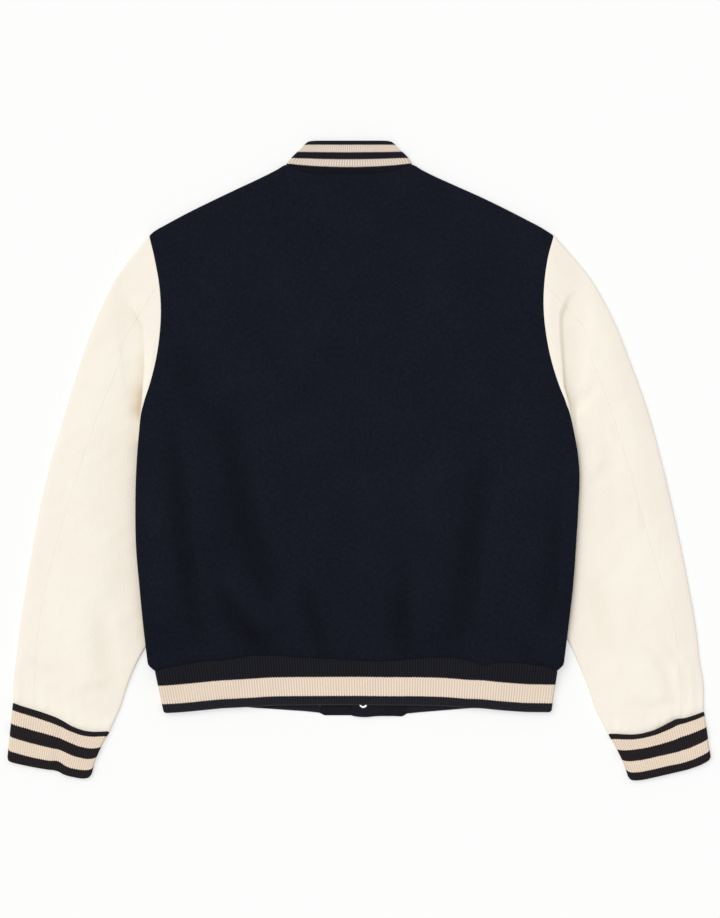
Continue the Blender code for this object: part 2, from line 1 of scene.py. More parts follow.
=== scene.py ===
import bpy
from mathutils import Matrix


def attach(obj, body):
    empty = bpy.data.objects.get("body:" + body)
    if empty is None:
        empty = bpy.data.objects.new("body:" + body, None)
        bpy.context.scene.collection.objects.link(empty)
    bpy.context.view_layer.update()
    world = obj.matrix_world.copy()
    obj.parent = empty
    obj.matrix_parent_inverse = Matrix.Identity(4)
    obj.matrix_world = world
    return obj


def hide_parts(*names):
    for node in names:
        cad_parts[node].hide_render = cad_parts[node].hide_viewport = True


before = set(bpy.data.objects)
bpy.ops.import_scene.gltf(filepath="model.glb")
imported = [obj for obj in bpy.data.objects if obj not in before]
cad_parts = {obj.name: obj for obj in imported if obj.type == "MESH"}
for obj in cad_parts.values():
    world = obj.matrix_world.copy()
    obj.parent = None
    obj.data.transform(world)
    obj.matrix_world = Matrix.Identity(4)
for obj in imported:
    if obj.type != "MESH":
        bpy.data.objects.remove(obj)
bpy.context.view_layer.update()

from types import SimpleNamespace

import bmesh
import bpy
import numpy as np

# Varsity jacket, laid flat on its front with its back up. Sizes are in millimetres.
mm = 0.001
jacket = bpy.data.collections.new("varsity_jacket")
bpy.context.scene.collection.children.link(jacket)


# Back: one panel of navy wool melton, cut from side seam to side seam. It folds over at the shoulders
# and sides to meet the fronts, and is sewn to the collar, the sleeves and the hem rib, which gathers its
# lower edge. Its sides lie over the sleeves, so it sags between them in soft furrows.

melton = 2.4
fold = 4.0               # radius of the folds at the shoulders and sides
seam_gap = 0.1
body = np.array([        # from the hem up: height, left side, right side, lift over the sleeves
    (-255.0, -262.9, 254.9, 6.6), (-200.0, -269.6, 261.8, 7.8), (-152.0, -274.4, 267.4, 8.2),
    (-104.0, -278.5, 271.0, 8.2), (-56.0, -279.3, 273.9, 8.2), (-8.0, -278.1, 275.1, 8.0),
    (32.5, -275.0, 269.3, 7.4), (64.0, -271.3, 261.9, 6.6), (95.0, -261.3, 249.5, 5.6),
    (126.0, -253.5, 239.9, 4.4), (158.0, -248.8, 233.6, 3.2), (190.0, -247.3, 230.5, 2.1),
    (222.0, -249.6, 231.4, 1.2), (252.0, -255.0, 235.5, 0.5), (282.5, -261.3, 242.5, 0.0)])
hem_height, tip_height = body[0, 0], body[-1, 0]
shoulders = np.array([   # outline of the shoulder folds, from the left tip past the neck to the right tip
    (-261.3, 282.5), (-256.0, 287.1), (-243.1, 294.5), (-213.1, 310.6), (-183.1, 325.4), (-153.1, 339.7),
    (-123.1, 353.8), (-103.1, 363.9), (-95.6, 368.4), (-91.5, 370.2), (64.5, 370.5), (69.4, 369.4),
    (76.9, 364.8), (91.9, 357.1), (121.9, 343.5), (151.9, 330.1), (181.9, 315.6), (211.9, 300.2),
    (226.9, 292.3), (242.5, 282.5)])
neck_left, neck_right = shoulders[9], shoulders[10]
back_neck_depth = 11.7
hem_seam = [(0, -7.5), (0.02, -4), (0.045, -2), (0.08, 1), (0.118, 4.5), (0.177, 6.5), (0.24, 10.5),
            (0.28, 11.5), (0.4, 8.5), (0.56, 4.7), (0.64, 7.2), (0.7, 9.7), (0.77, 6.6), (0.82, -1),
            (0.861, 3.3), (0.9, 3), (0.942, 0.6), (0.98, -2.5), (1, -7.5)]      # share across, height
front_seam = [(0, -7.5), (0.03, -3), (0.08, 0), (0.92, 0), (0.97, -3), (1, -7.5)]
armhole_foot = -6, 30                     # heights between which the side fold opens into the armhole
over_sleeve = 62, 150                     # distances from a side between which its lift fades out
armhole_roll, neck_roll = (2.2, 1.3), (2.2, 0.8)      # width and depth of the edges rolled down at a seam
far = 99                                  # further from an edge than any roll reaches


def flow(at, places, values, calm=False):
    """Values on a smooth curve through those at some places. A calm curve never bulges past them."""
    places, values = np.asarray(places, float), np.asarray(values, float)
    at = np.clip(at, places[0], places[-1])
    slopes = np.gradient(values, places, axis=0)
    if calm:
        rates = np.diff(values) / np.diff(places)
        before, after = rates[:-1], rates[1:]
        level = before * after <= 0
        slopes[1:-1] = np.where(level, 0, 2 * before * after / np.where(level, 1, before + after))
    before = np.clip(np.searchsorted(places, at, side="right") - 1, 0, len(places) - 2)
    step = places[before + 1] - places[before]
    t = (at - places[before]) / step
    for _ in range(values.ndim - 1):
        step, t = step[..., None], t[..., None]
    return ((1 + 2 * t) * (1 - t) ** 2 * values[before] + t * (1 - t) ** 2 * step * slopes[before]
            + t * t * (3 - 2 * t) * values[before + 1] - t * t * (1 - t) * step * slopes[before + 1])


def edge_line(at, table):
    """How far an edge stands off its straight line, from a table of places and distances."""
    places, distances = zip(*table)
    return flow(at, places, distances, calm=True)


def fade(distance, start, stop):
    """1 up to start, 0 past stop and smooth in between."""
    t = np.clip((distance - start) / (stop - start), 0, 1)
    return 1 - t * t * (3 - 2 * t)


def roll_off(distance, width, depth):
    """How far a cloth edge is rolled down towards its seam, at a distance from the seam."""
    return depth * (1 - np.sqrt(1 - np.clip(1 - distance / width, 0, 1) ** 2))


def uneven(x, y, length, seed):
    """Gentle unevenness, mostly between -1 and 1, in waves of about a length."""
    chance = np.random.default_rng(seed)
    total = 0
    for _ in range(8):
        way, stretch, shift = chance.uniform(0, np.pi), chance.uniform(0.6, 1.7), chance.uniform(0, 2 * np.pi)
        turn = 2 * np.pi / (length * stretch)
        total = total + np.sin((x * np.cos(way) + y * np.sin(way)) * turn + shift)
    return total / 3.4


def beside(x, y, line):
    """Distance from a line of points, positive on its left, and the place along it from 0 to 1."""
    line = np.asarray(line, float)
    lengths = np.linalg.norm(np.diff(line, axis=0), axis=1)
    nearest, side, place = np.full(np.shape(x), 1e9), np.ones(np.shape(x)), np.zeros(np.shape(x))
    done = 0
    for start, stop, length in zip(line, line[1:], lengths):
        way = (stop - start) / length
        along = np.clip((x - start[0]) * way[0] + (y - start[1]) * way[1], 0, length)
        off_x, off_y = x - start[0] - along * way[0], y - start[1] - along * way[1]
        distance = np.hypot(off_x, off_y)
        closer = distance < nearest
        nearest = np.where(closer, distance, nearest)
        side = np.where(closer, np.where(way[0] * off_y - way[1] * off_x >= 0, 1, -1), side)
        place = np.where(closer, (done + along) / lengths.sum(), place)
        done += length
    return nearest * side, place


def furrows(x, y, rows):
    """Soft furrows, each with its line, width and depth, low banks beside it, and ends that fade out."""
    height = 0
    for line, width, depth in rows:
        distance, place = beside(x, y, line)
        ends = np.clip(4.5 * place * (1 - place), 0, 1)
        across = distance / width
        banks = 0.45 * np.exp(-(np.abs(across) - 1.7) ** 2 / 0.6)
        height = height - depth * ends * (np.exp(-across ** 2) - banks)
    return height


def tip_drop(height):
    """How far the armhole's edge falls short of the shoulder fold's middle."""
    return fold * np.clip((height - body[-2, 0]) / (tip_height - body[-2, 0]), 0, 1) ** 1.5


def body_outline(height):
    """The body's left and right side and its lift over the sleeves, at a height."""
    sides = flow(height, body[:, 0], body[:, 1:])
    return sides[..., 0], sides[..., 1], sides[..., 2]


def upper_edge(x, scoop):
    """Height of a panel's upper edge at x: shoulder, neck, shoulder."""
    across = np.clip((x - neck_left[0]) / (neck_right[0] - neck_left[0]), 0, 1)
    return flow(x, shoulders[:, 0], shoulders[:, 1], calm=True) - scoop(across)


def back_scoop(across):
    """How deep the back neck is cut out, from one shoulder to the other."""
    return back_neck_depth * (1 - (2 * across - 1) ** 4)


def panel_rows(step):
    """Heights from the hem up, closer together at the seam, and the angle round the shoulder fold."""
    near_hem = hem_height + np.array([0, 0.35, 0.8, 1.5, 2.4, 3.6, 5.2])
    above = np.linspace(hem_height + 7.4, tip_height, int((tip_height - hem_height) / step))
    lean = np.array([72.0, 54, 36, 18, 0])
    heights = np.concatenate([near_hem, above, np.full(len(lean), tip_height)])
    leans = np.concatenate([np.full(len(near_hem) + len(above), 90.0), lean])
    return heights[:, None], np.radians(leans)[:, None]


def panel_points(heights, leans, left, right, share, turn, scoop, face):
    """Points on a body panel's outer face, which lies up (face 1) or down (-1). left and right are its
    two edges at each height, share a column's place between them, and turn its angle round a side fold."""
    outward = np.where(share < 0.5, -1, 1) * fold * np.cos(turn)
    x = left + (right - left) * share + outward
    top_x = left[-1] + (right[-1] - left[-1]) * share + outward
    side_left, side_right, lift = body_outline(heights)
    across = np.clip((x - outward - side_left - fold) / (side_right - side_left - 2 * fold), 0, 1)
    upward = (heights - hem_height) / (tip_height - hem_height)
    y = heights + (upper_edge(top_x, scoop) - tip_height) * upward - tip_drop(heights) + fold * np.cos(leans)
    y = y + edge_line(across, hem_seam if face > 0 else front_seam) * (1 - upward) ** 3
    at_armhole = 1 - fade(heights, *armhole_foot)
    round_side = np.sin(turn) * (1 - at_armhole) + at_armhole
    past_neck = np.maximum(neck_left[0] - top_x, top_x - neck_right[0])
    on_shoulder = 1 - fade(past_neck, 0, 10)
    round_shoulder = 1 - on_shoulder * (1 - np.sin(leans))
    half = seam_gap + (fold - seam_gap) * np.minimum(round_side, round_shoulder)
    inset = np.minimum(x - side_left, side_right - x)
    z = lift * fade(inset, *over_sleeve) + fold + face * half
    from_armhole = fold * (1 - np.cos(turn)) + far * (np.abs(share - 0.5) < 0.4999)
    from_neck = fold * (1 - np.cos(leans)) + far * (leans > 1.57)
    z = z - face * at_armhole * roll_off(from_armhole, *armhole_roll)
    z = z - face * (1 - on_shoulder) * roll_off(from_neck, *neck_roll)
    # The rib draws the lower corners in.
    drawn_in = 8 * np.clip((hem_height + 1.5 - y) / 9, 0, 1) ** 1.5 * fade(inset, 0, 30)
    x = x + np.where(across < 0.5, 1, -1) * drawn_in
    return np.stack(np.broadcast_arrays(x, y, z), axis=-1)


def draw_grid(points):
    """A grid of faces drawn to rows and columns of points."""
    rows, columns = points.shape[:2]
    bm = bmesh.new()
    bmesh.ops.create_grid(bm, x_segments=columns - 1, y_segments=rows - 1, size=0.5)
    for vert, place in zip(bm.verts, (points * mm).reshape(-1, 3)):
        vert.co = place
    return bm


def add_piece(name, bm, finish):
    """A smooth object of the jacket, made of a finished mesh."""
    mesh = bpy.data.meshes.new(name)
    bm.to_mesh(mesh)
    bm.free()
    mesh.shade_smooth()
    mesh.materials.append(finish)
    piece = bpy.data.objects.new(name, mesh)
    jacket.objects.link(piece)
    return piece


def cloth_sheet(name, points, wall, finish, shade_paint=None):
    """A cut piece of cloth, with points on its outer face and its thickness inside. An optional stored
    amount, from 0 to 1 at each point, says how much shade its finish paints into the colour."""
    piece = add_piece(name, draw_grid(points), finish)
    if shade_paint is not None:
        shade_layer = piece.data.attributes.new("shade_paint", "FLOAT", "POINT")
        shade_layer.data.foreach_set("value", np.clip(shade_paint, 0, 1).ravel())
    solid = piece.modifiers.new("thickness", "SOLIDIFY")
    solid.thickness = wall * mm
    solid.offset = -1
    return piece


def new_finish(name, roughness, specular):
    """A material, and its shader."""
    finish = bpy.data.materials.new(name)
    finish.use_nodes = True
    shader = finish.node_tree.nodes["Principled BSDF"]
    shader.inputs["Roughness"].default_value = roughness
    shader.inputs["Specular IOR Level"].default_value = specular
    return finish, shader


def feed(finish, socket, value):
    """Link a socket to another one, or set its value."""
    if isinstance(value, bpy.types.NodeSocket):
        finish.node_tree.links.new(value, socket)
    else:
        socket.default_value = value


def reckon(finish, operation, *values):
    """The result of a sum with sockets and numbers."""
    total = finish.node_tree.nodes.new("ShaderNodeMath")
    total.operation = operation
    for socket, value in zip(total.inputs, values):
        feed(finish, socket, value)
    return total.outputs[0]


def blend(finish, *parts):
    """A sum of sockets, each given with its weight."""
    total = 0.0
    for value, weight in parts:
        total = reckon(finish, "MULTIPLY_ADD", value, weight, total)
    return total


def spread(finish, value, low, high, out_low=0.0, out_high=1.0):
    """A value's range from low to high, drawn out to another range, smooth and clamped."""
    ranged = finish.node_tree.nodes.new("ShaderNodeMapRange")
    ranged.interpolation_type = "SMOOTHSTEP"
    for socket, number in zip(ranged.inputs, (value, low, high, out_low, out_high)):
        feed(finish, socket, number)
    return ranged.outputs[0]


def grain(finish, scale, detail=2.0, stretch=(1, 1, 1), turn=(0, 0, 0), distortion=0.0):
    """Noise on the piece's own place in space: scale is in waves to the metre."""
    nodes = finish.node_tree.nodes
    where = nodes.new("ShaderNodeTexCoord")
    mapping = nodes.new("ShaderNodeMapping")
    feed(finish, mapping.inputs["Vector"], where.outputs["Object"])
    mapping.inputs["Scale"].default_value = stretch
    mapping.inputs["Rotation"].default_value = turn
    noise = nodes.new("ShaderNodeTexNoise")
    feed(finish, noise.inputs["Vector"], mapping.outputs[0])
    noise.inputs["Scale"].default_value = scale
    noise.inputs["Detail"].default_value = detail
    noise.inputs["Distortion"].default_value = distortion
    return noise.outputs["Fac"]


def tint(finish, factor, first, second):
    """A colour between two others."""
    mixed = finish.node_tree.nodes.new("ShaderNodeMix")
    mixed.data_type = "RGBA"
    for number, value in ((0, factor), (6, first), (7, second)):
        if isinstance(value, tuple):
            value = (*value, 1.0)
        feed(finish, mixed.inputs[number], value)
    return mixed.outputs[2]


def painted_shade_factor(finish):
    """How much shade is painted into a point of the cloth, from 0 to 1."""
    stored = finish.node_tree.nodes.new("ShaderNodeAttribute")
    stored.attribute_name = "shade_paint"
    return stored.outputs["Fac"]


def emboss(finish, height, distance, strength=1.0, under=None):
    """Bumps of a height from 0 to 1, as deep as a distance in metres."""
    bump = finish.node_tree.nodes.new("ShaderNodeBump")
    bump.inputs["Strength"].default_value = strength
    bump.inputs["Distance"].default_value = distance
    feed(finish, bump.inputs["Height"], height)
    if under is not None:
        feed(finish, bump.inputs["Normal"], under)
    return bump.outputs[0]


def brushed_melton(name, nap, tips):
    """Brushed melton: short felted hairs hide the weave, so it is matt. A stored amount on the cloth paints
    shade into its colour.
    """
    finish, shader = new_finish(name, 1.0, 0.04)
    shader.inputs["Sheen Weight"].default_value = 0.05
    shader.inputs["Sheen Roughness"].default_value = 0.6
    shader.inputs["Sheen Tint"].default_value = (0.30, 0.36, 0.55, 1)
    hairs = grain(finish, 620, 4, stretch=(1, 0.45, 1), turn=(0, 0, 0.35), distortion=0.8)
    felt = grain(finish, 240, 3)
    mottle = blend(finish, (hairs, 0.55), (felt, 0.45), (grain(finish, 16, 2), 0.25))
    colour = tint(finish, spread(finish, mottle, 0.42, 0.84), nap, tips)
    # Painted shade: darkens the colour towards a dark purple navy where the cloth's stored amount says.
    deep = reckon(finish, "MULTIPLY", painted_shade_factor(finish), 0.6)
    feed(finish, shader.inputs["Base Color"], tint(finish, deep, colour, (0.0026, 0.0018, 0.0030)))
    surface = emboss(finish, felt, 0.0007, 0.6)
    feed(finish, shader.inputs["Normal"], emboss(finish, hairs, 0.0005, 0.7, surface))
    return finish


navy_melton = brushed_melton("navy_melton", (0.0053, 0.0066, 0.0112), (0.0093, 0.0110, 0.0182))
heights, leans = panel_rows(3.6)
body_left, body_right, _ = body_outline(heights)
neck_shares = (np.array([neck_left[0], neck_right[0]]) - body_left[-1] - fold) / (
    body_right[-1] - body_left[-1] - 2 * fold)
side_turns = np.arange(0.0, 90, 15)
flat = np.concatenate([np.linspace(0, neck_shares[0], 50, endpoint=False),
                       np.linspace(neck_shares[0], neck_shares[1], 54, endpoint=False),
                       np.linspace(neck_shares[1], 1, 50)])
share = np.concatenate([np.zeros(6), flat, np.ones(6)])
turn = np.radians(np.concatenate([side_turns, np.full(len(flat), 90.0), side_turns[::-1]]))
points = panel_points(heights, leans, body_left + fold, body_right - fold, share, turn, back_scoop, 1)
x, y = points[..., 0], points[..., 1]
from_hem = y - y[:1]
from_edge = np.minimum(np.minimum(x - x[:, :1], x[:, -1:] - x), y[-1:] - y)
calm = 1 - fade(from_edge, 1.5, 22)
sag = 1.1 * uneven(x, y, 190, 3) + 0.45 * uneven(x, y, 70, 8) + 0.12 * uneven(x, y, 26, 21)
back_furrows = (              # line, width and depth
    ([(-238, 62), (-225, -24), (-221.3, -99), (-211.3, -161.5), (-190, -240)], 15, 3.0),
    ([(-170, 80), (-150, -36.5), (-136.3, -99), (-108, -196)], 22, 3.0),
    ([(-186, -140), (-155, -194), (-100, -252)], 17, 3.4),
    ([(-74, -140), (-56.3, -201.5), (-38, -256)], 12, 2.4),
    ([(158, 20), (142.5, -92.8), (132.5, -167.8), (110, -254)], 20, 2.6),
    ([(57, -120), (52, -256)], 15, 2.1),
    ([(250, -30), (242.5, -124), (234, -215)], 12, 1.8),
    ([(-228, 150), (-206, 80), (-200, 20)], 24, 1.5))
dents = furrows(x, y, back_furrows)
gathers = uneven(x, y * 0.25, 10, 5) * np.exp(-from_hem / 11) * 0.75
bulge = 1.7 * np.exp(-((from_hem - 8) / 6) ** 2) * (1 + 0.35 * uneven(x, 0 * x, 34, 6))
points[..., 2] += np.sin(turn) * calm * ((sag + dents) * (1 - fade(from_hem, 4, 30)) + bulge + gathers)
points[..., 2] -= np.sin(turn) * roll_off(from_hem, 3.4, 1.9)
points[..., 1] += 0.45 * uneven(x, 0 * x, 12, 9) * np.exp(-from_hem / 3)
# Painted shade in the back's furrows, plus a little darker over the lower part towards the hem.
in_shade = np.clip(-dents / 5.2, 0, 1) * np.sqrt(calm) + 0.16 * fade(y, -250, -60)
back = cloth_sheet("back", points, melton, navy_melton, in_shade)
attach(back, "root")
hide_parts("back_panel")


# Fronts: the two lower panels of the same melton, from side seam to closing edge. The jacket lies on
# their outer faces. The right one laps over the left one, and the snaps press both thin.

centre_top, centre_hem = np.array((-11.6, 286.0)), np.array((5.4, -304.0))
left_lap, right_lap = 14.5, 14.3
front_neck_depth = 80.0
front_width = 265.0                       # about, from side to closing
closing_roll, front_hem_roll = (1.5, 1.0), (2.4, 1.0)
snap_heights = np.linspace(261.0, centre_hem[1], 6)


def centre_line(height):
    """The closing line's x at a height."""
    return centre_hem[0] + (centre_top[0] - centre_hem[0]) * (height - centre_hem[1]) / (
        centre_top[1] - centre_hem[1])


def lap_rise(x, height):
    """How high the right front lies over the surface near its closing edge."""
    return 2.7 * fade(x - (centre_line(height) - right_lap), 30, 70)


def snap_press(x, y):
    """1 where a snap presses the cloth thin, 0 clear of it."""
    return sum(fade(np.hypot(x - centre_line(height), y - height), 7.3, 11) for height in snap_heights)


def bow(across):
    """A half ellipse: 0 at both ends, 1 in the middle."""
    return 2 * np.sqrt(across * (1 - across))


def front_neck(across):
    """How deep the front neck is cut out, from one shoulder to the other."""
    return front_neck_depth * bow(across)


heights, leans = panel_rows(5.2)
body_left, body_right, _ = body_outline(heights)
from_closing = np.array([0, 0.4, 1.0, 1.9, 3.2, 5, 7, 9, 11, 13, 15, 17, 19, 21, 23, 26, 30])
near_closing = 1 - from_closing / front_width
to_closing = np.concatenate([np.linspace(0, near_closing[-1], 46, endpoint=False), near_closing[::-1]])
for name, side in (("left_front", -1), ("right_front", 1)):
    if side < 0:
        left, right = body_left + fold, centre_line(heights) + left_lap
        share = np.concatenate([np.zeros(6), to_closing])
        turn = np.concatenate([side_turns, np.full(len(to_closing), 90.0)])
        closing_edge = -1
    else:
        left, right = centre_line(heights) - right_lap, body_right - fold
        share = np.concatenate([1 - to_closing[::-1], np.ones(6)])
        turn = np.concatenate([np.full(len(to_closing), 90.0), side_turns[::-1]])
        closing_edge = 0
    points = panel_points(heights, leans, left, right, share, np.radians(turn), front_neck, -1)
    x, y = points[..., 0].copy(), points[..., 1].copy()
    if side > 0:
        points[..., 2] += lap_rise(x, heights)
    else:
        points[..., 2] += 0.8 * snap_press(x, y)
    points[..., 2] += roll_off(np.abs(x - x[:, closing_edge][:, None]), *closing_roll)
    points[..., 2] += roll_off(y - y[:1], *front_hem_roll)
    front = cloth_sheet(name + "_cloth", points[:, ::-1], melton, navy_melton)
    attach(front, "root")
    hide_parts(name)


# Sleeves: cut in two pieces of soft cream leather with a cloth backing. The topsleeve lies round the
# outside of the arm and the undersleeve round its inside. They are seamed to each other, to the armhole
# and to the cuff, and the body's side lies over them.

hide = 2.1
sleeve_loft = 5.6
armhole_tuck = 2.6        # how far the sleeve goes under the body's edge, under the arm
floor_gap = 0.02
edge_top, edge_drop = 6.4, 1.4    # the sleeve's top beside the body's edge, over its lift, and its slope
dip_end = 48, 72          # heights between which that dip ends
no_ceiling = 20           # higher than any point of the sleeve
back_seam, forearm_seam, underarm = 2, 6, 8    # columns round the armhole
left_arm = SimpleNamespace(
    side=-1,
    rows=np.array([       # down the arm: outer fold x, y, inner fold x, y, share at which the back seam lies
        (-298.8, 236.0, -276.5, 16.0, 0.36), (-317.5, 201.0, -273.0, -8.0, 0.38),
        (-336.3, 157.3, -269.0, -32.0, 0.35), (-352.5, 109.8, -259.0, -60.0, 0.287),
        (-371.3, 47.3, -243.0, -94.0, 0.226), (-388.8, -14.0, -233.0, -131.0, 0.19),
        (-403.4, -81.5, -233.0, -168.0, 0.153), (-415.0, -149.0, -247.0, -204.0, 0.13),
        (-425.0, -214.0, -277.4, -252.0, 0.145), (-433.0, -302.8, -311.8, -338.6, 0.21)]),
    cuff_seam=[(0, 0), (0.06, -0.6), (0.26, -0.9), (0.42, -2), (0.52, -4.1), (0.57, -6), (0.62, -7.5),
               (0.73, -8.5), (0.83, -6.9), (0.93, -3.5), (1, -0.6)],
    fullness=1.6,         # how far the sleeve blouses out beside the cuff
    pleat=[(-289.5, 207), (-280, 183), (-273.5, 172), (-269.6, 163), (-268.6, 144.8), (-269, 116),
           (-270.2, 95), (-271.4, 77), (-273.4, 60), (-275.4, 44)],
    pleat_end=(0.86, 1.0),            # places along the pleat between which it fades out
    over=2.4, under=1.5,              # how high its upper side stands and how deep its lower side lies
    # The shades below are painted into the hide's colour: under the pleat, beside the body's edge and at the
    # outer fold.
    shade=0.2, shade_width=11,        # of its lower side
    deeper=((0.3, 0.35, 0.6), (0.6, 0.62, 0.78)),      # how much the shade deepens, between two places
    body_shade=0.42, body_width=12,   # of the shade beside the body's edge
    fold_shade=0.03,                  # at the outer fold
    furrows=(             # line, width and depth
        ([(-330, -174), (-318, -240), (-312, -299)], 14, 1.3),
        ([(-300, -60), (-296, -140), (-312, -200)], 15, 0.6),
        ([(-420, -240), (-396, -262), (-372, -268)], 7, 0.6),
        ([(-352, -296), (-330, -284), (-308, -284)], 8, 0.8)))
right_arm = SimpleNamespace(
    side=1,
    rows=np.array([
        (282.4, 237.3, 271.3, 13.0, 0.30), (301.4, 208.5, 270.5, -11.0, 0.36),
        (320.6, 171.0, 267.5, -34.0, 0.347), (338.5, 126.0, 260.0, -62.0, 0.31),
        (361.3, 62.3, 246.0, -96.0, 0.27), (380.0, -6.5, 233.0, -132.0, 0.229),
        (395.0, -71.5, 233.0, -168.0, 0.204), (410.0, -144.0, 251.0, -205.0, 0.18),
        (422.3, -215.3, 273.4, -251.0, 0.155), (431.8, -313.9, 311.6, -342.2, 0.23)]),
    cuff_seam=[(0, 0), (0.075, -1.25), (0.18, -2.2), (0.284, -1), (0.336, -2.5), (0.44, -6),
               (0.54, -8.5), (0.65, -8.9), (0.75, -7.6), (0.857, -4.5), (0.96, -1.1), (1, 0)],
    fullness=2.4,
    pleat=[(271, 214.1), (260.5, 202.3), (252.5, 182.6), (252.5, 158.9), (255.3, 116.8), (257, 90.5),
           (263, 71), (267, 50)],
    pleat_end=(0.8, 0.97),
    over=2.3, under=1.0,
    # Painted shade into the hide's colour, as for the left sleeve.
    shade=0.34, shade_width=5,
    deeper=((0.3, 0.6, 0.8),),
    body_shade=0.26, body_width=6,
    fold_shade=0.06,
    furrows=(
        ([(262, 60), (276, 73), (290, 88), (298, 98)], 7, 0.8),
        ([(286, -32), (304, -14), (318, 2)], 8, 0.8),
        ([(300, 76), (312, 0), (322, -96)], 9, 0.5),
        ([(317, 48), (326, 18)], 5, 0.7),
        ([(350, -54), (359, -92)], 5, 0.5),
        ([(352, -226), (384, -262), (396, -318)], 8, 0.9),
        ([(372, -214), (404, -262), (410, -316)], 6, 0.6),
        ([(330, -304), (366, -306), (404, -300)], 5, 0.7),
        ([(292, -140), (306, -196), (318, -250)], 14, 1.0)))


def sleeve_share(seam, column):
    """Share of the way between a sleeve's folds at which a column lies."""
    return np.where(column <= back_seam, seam * column / back_seam,
                    seam + (1 - seam) * (column - back_seam) / (underarm - back_seam))


def under_arm(columns):
    """0 round most of the armhole and 1 under the arm, where the sleeve is tucked under the body's edge."""
    return 1 - fade(columns, 6.4, 7.6)


def sleeve_plan(arm, places, columns):
    """Plan points of a sleeve's columns at places along it, from 0 at the armhole to 10 at the cuff, with
    each point's share of the way between the folds, and each column's lift at the armhole."""
    height = np.interp(columns, range(9), body[::-1][:9, 0])
    left, right, lift = body_outline(height)
    edge = left - seam_gap if arm.side < 0 else right + seam_gap
    edge = edge - arm.side * armhole_tuck * under_arm(columns)
    stations = [np.stack([edge, height - tip_drop(height), columns / underarm], axis=1)]
    for row in arm.rows:
        outer, inner = row[0:2], row[2:4]
        inward = (inner - outer) / np.linalg.norm(inner - outer) * sleeve_loft / 2
        share = sleeve_share(row[4], columns)
        plan = outer + inward + share[:, None] * (inner - outer - 2 * inward)
        stations.append(np.column_stack([plan, share]))
    stations[-1][:, 1] += edge_line(stations[-1][:, 2], arm.cuff_seam)
    plan = flow(places, range(len(stations)), np.stack(stations))
    fullness = arm.fullness * np.exp(-((places - 9.66) / 0.2) ** 2)
    plan[..., 0] += arm.side * fullness[:, None] * (1 - 2 * plan[..., 2])
    return plan, lift


def sleeve_points(arm, places, columns, turns):
    """Points on a sleeve's outer face, with their share between the folds."""
    plan, lift = sleeve_plan(arm, places, columns)
    neighbours, _ = sleeve_plan(arm, places, np.where(columns < 4, columns + 0.6, columns - 0.6))
    outward = plan[..., :2] - neighbours[..., :2]
    ahead, _ = sleeve_plan(arm, np.minimum(places + 0.05, 10), columns)
    behind, _ = sleeve_plan(arm, np.maximum(places - 0.05, 0), columns)
    way = ahead[..., :2] - behind[..., :2]
    aside = arm.side * np.stack([way[..., 1], -way[..., 0]], axis=-1)      # towards the body
    outward = np.where((columns > 4)[:, None], aside, outward)
    outward /= np.linalg.norm(outward, axis=-1, keepdims=True)
    down = 1 - fade(places, 0, 1)[:, None]
    top_loft = fold * (1 - 0.45 * under_arm(columns))
    loft = top_loft + (sleeve_loft / 2 - top_loft) * down
    flat = plan[..., :2] + outward * (loft * np.cos(turns))[..., None]
    z = (lift + fold) * (1 - down) + sleeve_loft / 2 * down + loft * np.sin(turns)
    return np.stack([flat[..., 0], flat[..., 1], z], axis=-1), plan[..., 2]


def edge_distance(points, axis, end):
    """Distance of each point from one end of its row (axis 1) or column (axis 0)."""
    steps = np.linalg.norm(np.diff(points, axis=axis), axis=-1)
    if end < 0:
        steps = np.flip(steps, axis)
    run = np.cumsum(steps, axis=axis)
    start = np.zeros_like(np.take(run, [0], axis=axis))
    run = np.concatenate([start, run], axis=axis)
    return np.flip(run, axis) if end < 0 else run


def pleat_relief(arm, x, y):
    """Rise, and painted shade, at the armhole's pleat, where the cloth by the body lies over the rest of the
    sleeve.
    """
    off, place = beside(x, y, arm.pleat)
    off = arm.side * off
    starts = np.clip(6 * place, 0, 1) * fade(place, *arm.pleat_end)
    below = 1 - fade(off, -1.2, 1.2)
    bank, trough = arm.over * np.exp(-np.abs(off) / 14), arm.under * np.exp(-np.abs(off) / 11)
    depth = arm.shade
    for more, start, stop in arm.deeper:
        depth = depth + more * (1 - fade(place, start, stop))
    shade = starts * depth * below * np.exp(-(np.maximum(off, 0) / arm.shade_width) ** 1.5)
    return starts * (bank * (1 - below) - trough * below), shade


def sleeve_relief(arm, x, y, places, share, outside):
    """Rise, and painted shade, of a sleeve's upper side."""
    crown = 3.6 * (1 - fade(places, 0.3, 2.2)) * fade(places, 9.2, 10.3)
    rise = crown * (4 * np.clip(share * (1 - share), 0, 1)) ** 0.6 * (1 - fade(outside, 3, 80))
    rise = rise + 0.35 * uneven(x, y, 85, 31 + arm.side) + 0.15 * uneven(x, y, 30, 41 + arm.side)
    pleat, shade = pleat_relief(arm, x, y)
    dents = furrows(x, y, arm.furrows)
    # Painted shade in the furrows, beside the body's edge below the armhole, and at the outer fold.
    near_body = np.exp(-np.maximum(outside, 0) / arm.body_width) * fade(y, 50, 84)
    shade = shade + np.clip(-dents, 0, 2) * 0.09
    shade = shade + arm.body_shade * near_body + arm.fold_shade * fade(share, 0.05, 0.2)
    return np.maximum(rise + pleat + dents, -1.1), shade


